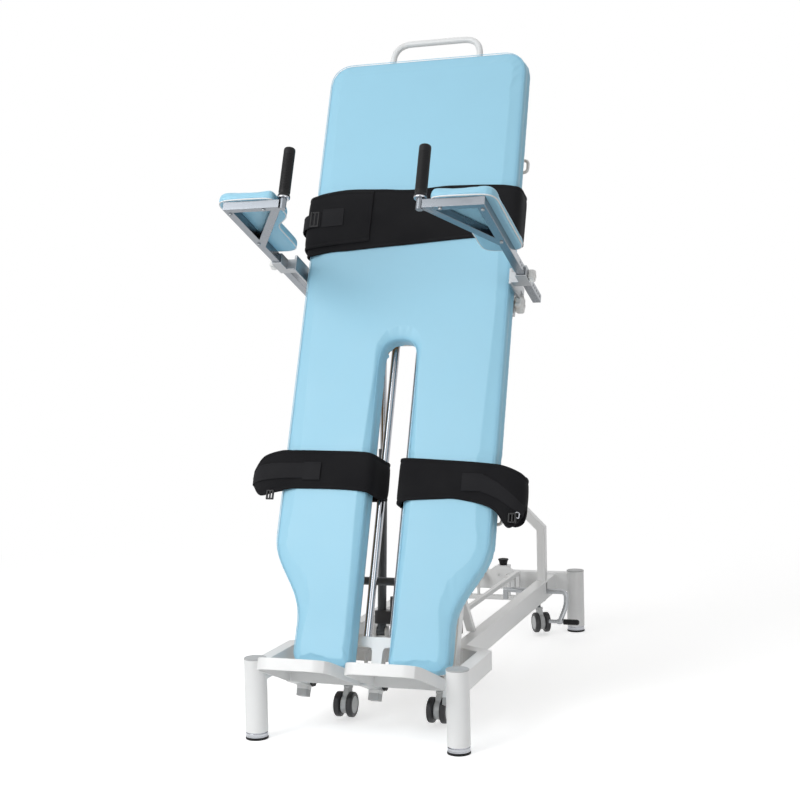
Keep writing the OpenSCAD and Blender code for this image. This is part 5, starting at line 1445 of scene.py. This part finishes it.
@dataclass
class Belts:
    """The chest belt and the two knee belts, with their tapes, patches, buckles and a wire ring."""

    # Where each belt runs. The knee belts hang slack beside the legs on their outer sides.
    chest: Keys = ((-312, 93, 1516, 1690), (-332, 92.5, 1512, 1693), (-341, 84, 1506, 1695),
                   (-342, 52, 1500, 1697), (-342, 22, 1495, 1698), (-336.5, 3, 1493, 1700),
                   (-319, -4.2, 1494, 1708), (-254, -4.5, 1505, 1720), (-196, -4.5, 1508, 1722),
                   (-100, -4.5, 1515, 1717), (0, -4.5, 1521, 1711), (100, -4.5, 1528, 1717),
                   (196, -4.5, 1534, 1716), (280, -4.5, 1535, 1712), (319, -4.2, 1535, 1706),
                   (337, 2, 1536, 1704), (344, 20, 1536, 1704), (344, 52, 1537, 1705),
                   (342, 84, 1538, 1706), (332, 92.5, 1540, 1707), (312, 93, 1542, 1708))
    knee_left: Keys = ((-300, -4.6, 729, 851), (-250, -4.6, 730, 851), (-188, -4.6, 730, 850),
                       (-120, -4.6, 728, 849), (-78, -4.6, 725, 847), (-57, -1.5, 722, 845), (-47, 12, 718, 843),
                       (-38, 45, 714, 840), (-30, 72, 716, 838), (-26.2, 88, 718, 838), (-30, 100, 719, 838),
                       (-42, 106, 720, 838), (-120, 114, 722, 840), (-196, 117, 730, 842), (-252, 117, 738, 845),
                       (-300, 110, 744, 848), (-338, 96, 748, 850), (-366, 84, 744, 846), (-402, 70, 734, 836),
                       (-430, 52, 742, 800), (-439, 35, 745, 788), (-430, 17, 739, 798), (-400, 2, 708, 833),
                       (-345, -6, 718, 849))
    knee_right: Keys = ((50, -1.5, 690, 829), (72, -4.6, 698, 829), (120, -4.6, 702, 827), (177, -4.6, 705, 824),
                        (218, -4.6, 706, 822), (279, -5, 696, 818), (320, -6, 684, 814), (348, -7, 666, 811),
                        (382, -4, 624, 801), (411, 9, 646, 788), (422, 36, 690, 776), (411, 62, 654, 792),
                        (379, 82, 646, 808), (354, 92, 672, 820), (338, 102, 690, 826), (300, 112, 700, 828),
                        (252, 117, 702, 828), (196, 117, 702, 828), (120, 114, 700, 828), (42, 106, 698, 828),
                        (30, 100, 698, 828), (26.2, 88, 698, 828), (30, 72, 696, 828), (36, 45, 692, 828),
                        (41, 12, 690, 829))

    def build(self) -> None:
        """Lays the three belts and what is sewn on them."""
        for name, keys, node, loop in (("chest_belt", self.chest, "chest_strap", False),
                                       ("knee_belt_left", self.knee_left, "knee_strap_left", True),
                                       ("knee_belt_right", self.knee_right, "knee_strap_right", True)):
            belt = add_piece(name, strap(keys, BELT_SECTION, loop, wave=0.9), BED, BLACK_BELT, "bed", [node],
                             smooth=60, weighted=False)
        self.flap("chest_belt_layer", ((-350.5, 60, 1512, 1690), (-350.5, 22, 1514, 1692), (-344, -4, 1516, 1696),
                                       (-322, -11, 1517, 1702), (-254, -11, 1526, 1714), (-196, -11, 1530, 1715),
                                       (-150, -10.6, 1534, 1712), (-132, -9.6, 1536, 1710)), BELT_SECTION)
        self.flap("chest_belt_patch", ((-296, -17, 1588, 1650), (-262, -17.2, 1590, 1652), (-224, -17, 1592, 1652)),
                  TAPE_SECTION)
        self.flap("chest_belt_tape", ((-302, -17.4, 1590, 1638), (-322, -18.6, 1588, 1636), (-345, -17, 1584, 1632),
                                      (-362, -2, 1580, 1628), (-367, 26, 1578, 1626), (-361, 56, 1578, 1626),
                                      (-351, 84, 1580, 1628), (-338, 97, 1582, 1630))[::-1], TAPE_SECTION)
        self.flap("knee_belt_tape_left", ((-440, 36, 746, 768), (-433, 13, 747, 781), (-404, -5, 752, 801),
                                          (-372, -11, 756, 806), (-340, -12.4, 759, 808), (-285, -11.2, 762, 809),
                                          (-259, -11, 762, 809)), TAPE_SECTION)
        self.flap("knee_belt_patch_left", ((-262, -12.6, 756, 812), (-234, -12.8, 756, 812), (-207, -12.2, 756, 812)),
                  TAPE_SECTION)
        self.flap("knee_belt_patch_right", ((238, -11.2, 729, 782), (268, -11.6, 729, 782), (302, -12.6, 728, 781)),
                  TAPE_SECTION)
        self.flap("knee_belt_tape_right", ((298, -12.4, 727, 780), (330, -13.2, 716, 765), (362, -12.6, 700, 745),
                                           (392, -6.5, 680, 722), (411, 2.5, 668, 703), (422, 15, 662, 693)),
                  TAPE_SECTION)
        self.buckle("chest_buckle_moulded", -321, 1616, -21.6, 30, 52, ["chest_buckle"])
        self.buckle("knee_buckle_left", -362, 708, -15.0, 24, 30)
        self.buckle("knee_buckle_right", 396, 652, -13.0, 24, 30)
        self.slider()

    def flap(self, name: str, keys: Keys, section: Outline) -> None:
        """Sews a further layer on a belt.

        Args:
            name: the layer's name.
            keys: where it lies.
            section: the belt's or the tape's section.
        """
        finish = BLACK_BELT if section is BELT_SECTION else BLACK_TAPE
        add_piece(name, strap(keys, section, spacing=6.0), BED, finish, "bed", smooth=60, weighted=False)

    def buckle(self, name: str, x: float, u: float, n: float, wide: float, high: float,
               replaces: Iterable[str] = ()) -> None:
        """Moulds a slide buckle: a frame with an upright bar in its middle.

        Args:
            name: the buckle's name.
            x: where its middle is across the bed.
            u: where its middle is along the bed.
            n: how far its face is behind the padding's front.
            wide: its width.
            high: its height.
            replaces: the nodes that it stands for.
        """
        bar = deep = 5.0
        shape = Shape()
        for low, top in ((-high / 2, bar - high / 2), (high / 2 - bar, high / 2)):
            shape.brick((x - wide / 2, n, u + low), (x + wide / 2, n + deep, u + top))
        for middle, bulge in ((x - wide / 2 + bar / 2, 1), (x, 0), (x + wide / 2 - bar / 2, 1)):
            shape.brick((middle - bar / 2, n - bulge, u - high / 2 + 1),
                        (middle + bar / 2, n + deep + bulge, u + high / 2 - 1))
        add_piece(name, shape, BED, BLACK_ABS, "bed", replaces, edge=1.1)

    def slider(self) -> None:
        """Bends the small bright wire ring that leads the right knee belt's tape."""
        ring = [(404, -9, 655), (414, -5, 652), (415, -4, 668), (405, -8, 671)]
        path = round_path([Vector(ring[-1]).lerp(Vector(ring[0]), 0.5)] + [Vector(p) for p in ring]
                          + [Vector(ring[-1]).lerp(Vector(ring[0]), 0.49)], 4, 5)
        add_piece("knee_belt_ring", Shape().tube(path[:-1], 1.4, 12, loop=True), BED, CHROME, "bed", smooth=60)


# ---------------------------------------------------------------- bed fittings and armrests


@dataclass
class BedFittings:
    """The head handle, the wire loops for straps, and the screws of the board and the rails."""

    # The handle: its half width, its place behind the padding's front, its foot, its top and its radius
    handle_half: float = 150.0
    handle_n: float = 88.0
    handle_foot: float = 2150.0
    handle_top: float = 2300.0
    handle_r: float = 10.5
    # Where the side tubes' faces are, how far out the loops reach, half their height, and their places on the bed
    tube_face: float = 240.0
    loop_out: float = 340.0
    loop_half: float = 21.0
    loop_places: Pair = (676, 1820)
    # How far behind the padding's front the tubes' middle lines are
    tube_n: float = 93.0

    def build(self) -> None:
        """Bends the handle and the loops, and adds the small hardware."""
        half, n, foot, top = self.handle_half, self.handle_n, self.handle_foot, self.handle_top
        bow = round_path([(-half, n, foot + 1), (-half, n, top), (half, n, top), (half, n, foot + 1)], 62, 12)
        handle = Shape().tube([(-half, n, foot)] + bow + [(half, n, foot)], self.handle_r, 36)
        for x in (-half, half):
            handle.lathe([(10.4, 0), (13.6, 0.2), (12.8, 2.4), (10.4, 4.2)], (x, n, foot), steps=36)
        add_piece("head_handle_bent", handle, BED, WHITE_STEEL, "bed", ["head_handle"], smooth=50)
        loops = Shape()
        for side in (-1, 1):
            face, out, n = side * self.tube_face, side * self.loop_out, self.tube_n
            for u in self.loop_places:
                low, high = u - self.loop_half, u + self.loop_half
                bend = round_path([(face, n, low), (out, n, low), (out, n, high), (face, n, high)], 15, 8)
                loops.tube([(face - side, n, low)] + bend + [(face - side, n, high)], 5, 20)
                for v in (low, high):
                    loops.lathe([(4.9, 0), (7, 0.1), (6.4, 1.6), (4.9, 2.8)], (face, n, v), (side, 0, 0), 24)
        add_piece("strap_loops_bent", loops, BED, WHITE_STEEL, "bed", ["strap_loops"], smooth=50)
        screws = Shape()
        head = [(0, 0), (6.4, 0), (6.5, 0.8), (5.2, 2.6), (3.2, 3.3), (2.4, 3.3), (2.4, 1.4), (0, 1.4)]
        for x in (-180, 180):
            for u in (1237, 1415, 1713, 2130):
                screws.lathe(head, (x, 103, u), (0, 1, 0), 24)
        for side in (-1, 1):
            screws.lathe(head, (side * 310, 91.5, 1690), (side, 0, 0), 24)
        add_piece("bed_screws", screws, BED, ZINC, "bed", smooth=40)


@dataclass
class Armrest:
    """One armrest: cushion with white piping and its base, grip with a bright ring, screws and two star knobs."""

    side: Side
    height: float
    reach: float
    # Where the long tube and the grip's post are across the bed
    arm_x: float = 394.0
    grip_x: float = 223.0
    # The cushion's middle, from the tube and from the grip, and the height of the plate that it lies on
    cushion_inward: float = 30.0
    cushion_behind: float = 160.0
    plate_top: float = 15.5
    # The groove of the piping, its height, depth and half width, and the piping's own height and radius
    groove_z: float = 17.5
    groove_depth: float = 1.1
    groove_half: float = 1.8
    piping_z: float = 15.4
    piping_r: float = 2.2

    def build(self) -> None:
        """Makes the armrest's soft and moulded parts."""
        word = self.side.word
        space = arm_space(self.side, self.height)
        body = "armrest_" + word
        self.cushion(space, body, word)
        self.grip(space, body, word)
        add_piece(f"clamp_knob_{word}_moulded", lobed(62, 24, 7, (330.3, 91.5, -25), 19, 5), space, WHITE_ABS,
                  "clamp_knob_" + word, ["clamp_knob_" + word], smooth=50)
        add_piece(f"arm_knob_{word}_moulded", lobed(40, 18, 5, (411.1, -70, 0), 4), space, WHITE_ABS,
                  "arm_knob_" + word, ["arm_knob_" + word], smooth=50)
        screws = Shape()
        head = [(0, 0), (4.9, 0), (5, 0.6), (5, 3), (4.2, 4.2), (2.6, 4.2), (2.6, 3.1), (0, 3.1)]
        for x, y in ((281, 0), (self.arm_x, 20), (self.arm_x, 231)):
            screws.lathe(head, (x, y - self.reach, -12.5), (0, 0, -1), 24)
        add_piece("arm_screws_" + word, screws, space, ZINC, body, smooth=40)

    def cushion(self, space: Matrix, body: str, word: str) -> None:
        """Swells the cushion, draws its groove, and lays its piping and its base.

        Args:
            space: the armrest's space.
            body: the body that it rides on.
            word: its side's name.
        """
        node = "arm_cushion_" + word
        cushion = remeshed(node + "_cover", node, 4.0, 3)
        place = coords(cushion.data, space)
        rise = np.clip((place[:, 2] - self.plate_top + 1) / 6, 0, 1)
        inflate(cushion, space, place[:, 2] < self.plate_top, 4.0, rise)
        finer(cushion)
        p = coords(cushion.data, space)
        groove = np.exp(-((p[:, 2] - self.groove_z) / self.groove_half) ** 2)
        middle = np.array([self.arm_x - self.cushion_inward, self.cushion_behind - self.reach])
        away = p[:, :2] - middle
        far = np.maximum(np.linalg.norm(away, axis=1), 1)
        p[:, :2] -= away / far[:, None] * self.groove_depth * groove[:, None]
        put_coords(cushion.data, space, p)
        dress(cushion, BLUE_VINYL, body, [node], smooth=180, weighted=False)
        loop = slice_loop(cushion.data, space, 2, 18.5, 5.0)
        welt = Shape().tube([(x, y, self.piping_z) for x, y in inset(loop, 0.6)], self.piping_r, 10, loop=True)
        add_piece(f"arm_cushion_{word}_piping", welt, space, WHITE_PIPING, body, smooth=180, weighted=False)
        base = Shape().layers(inset(loop, 3), [(0.6, 12.9), (0, 13.4), (0, self.piping_z)],
                              lambda x, y, z: (x, y, z))
        add_piece(f"arm_cushion_{word}_base", base, space, BLUE_VINYL, body, smooth=40, weighted=False)

    def grip(self, space: Matrix, body: str, word: str) -> None:
        """Turns the grip: a bright ring and a flared bell over the post, ribs and a domed end.

        Args:
            space: the armrest's space.
            body: the body that it rides on.
            word: its side's name.
        """
        profile = [(10.05, 23), (18, 23), (18.6, 24), (18, 27), (16.4, 31), (15.9, 33.5), (16.3, 35.5), (17, 37.2)]
        ribs, first, pitch = 24, 40, 5
        for i in range(ribs):
            z = first + pitch * i
            profile += [(17, z), (17, z + 2.7), (16.2, z + 3.3), (16.2, z + 4.3)]
        profile += [(17, 161), (17, 170), (16.5, 174.6), (14.4, 177.2), (10.5, 178), (0, 178)]
        ring = [(10.05, 17.4), (15, 17.4), (17.4, 18.2), (18.3, 20), (18.3, 22), (17.6, 23.2), (10.05, 23.2)]
        post = (self.grip_x, -self.reach, 0)
        add_piece(f"arm_grip_{word}_ring", Shape().lathe(ring, post, steps=64, loop=True), space, CHROME, body,
                  smooth=40)
        add_piece(f"arm_grip_{word}_ribbed", Shape().lathe(profile, post, steps=64), space, BLACK_RUBBER, body,
                  ["arm_grip_" + word], smooth=45)


@dataclass
class FootKnobs:
    """The small black knobs that hold the footplates on their tubes."""

    height: float = 168.0
    # The tubes that the two footplates slide on, and how far beside their middle a knob's head starts
    tubes: tuple[tuple[str, float], ...] = (("left", -224.0), ("right", 0.0))
    beside: float = 20.9
    tube_n: float = 93.0

    def build(self) -> None:
        """Moulds both knobs."""
        for word, tube in self.tubes:
            body = "foot_knob_" + word
            knob = lobed(26, 14, 5, (tube + self.beside, self.tube_n, self.height), 4.3)
            add_piece(body + "_moulded", knob, BED, BLACK_ABS, body, [body], smooth=50)


def main() -> None:
    """Builds the stage, then the table from its base to its soft goods."""
    logging.basicConfig(level=logging.INFO, format="%(name)s: %(message)s")
    Studio().build()
    Steelwork().build()
    Columns().build()
    Stops().build()
    for castor in (Castor("fl", -118, 264, 0), Castor("fr", 170, 264, 0), Castor("rl", -175, 1541, -30),
                   Castor("rr", 175, 1541, 30)):
        castor.build()
    Pedal().build()
    BedFittings().build()
    FootKnobs().build()
    for armrest in (Armrest(Side.LEFT, 1445, 480), Armrest(Side.RIGHT, 1375, 575)):
        armrest.build()
    Padding().build()
    Belts().build()


if __name__ == "__main__":
    main()
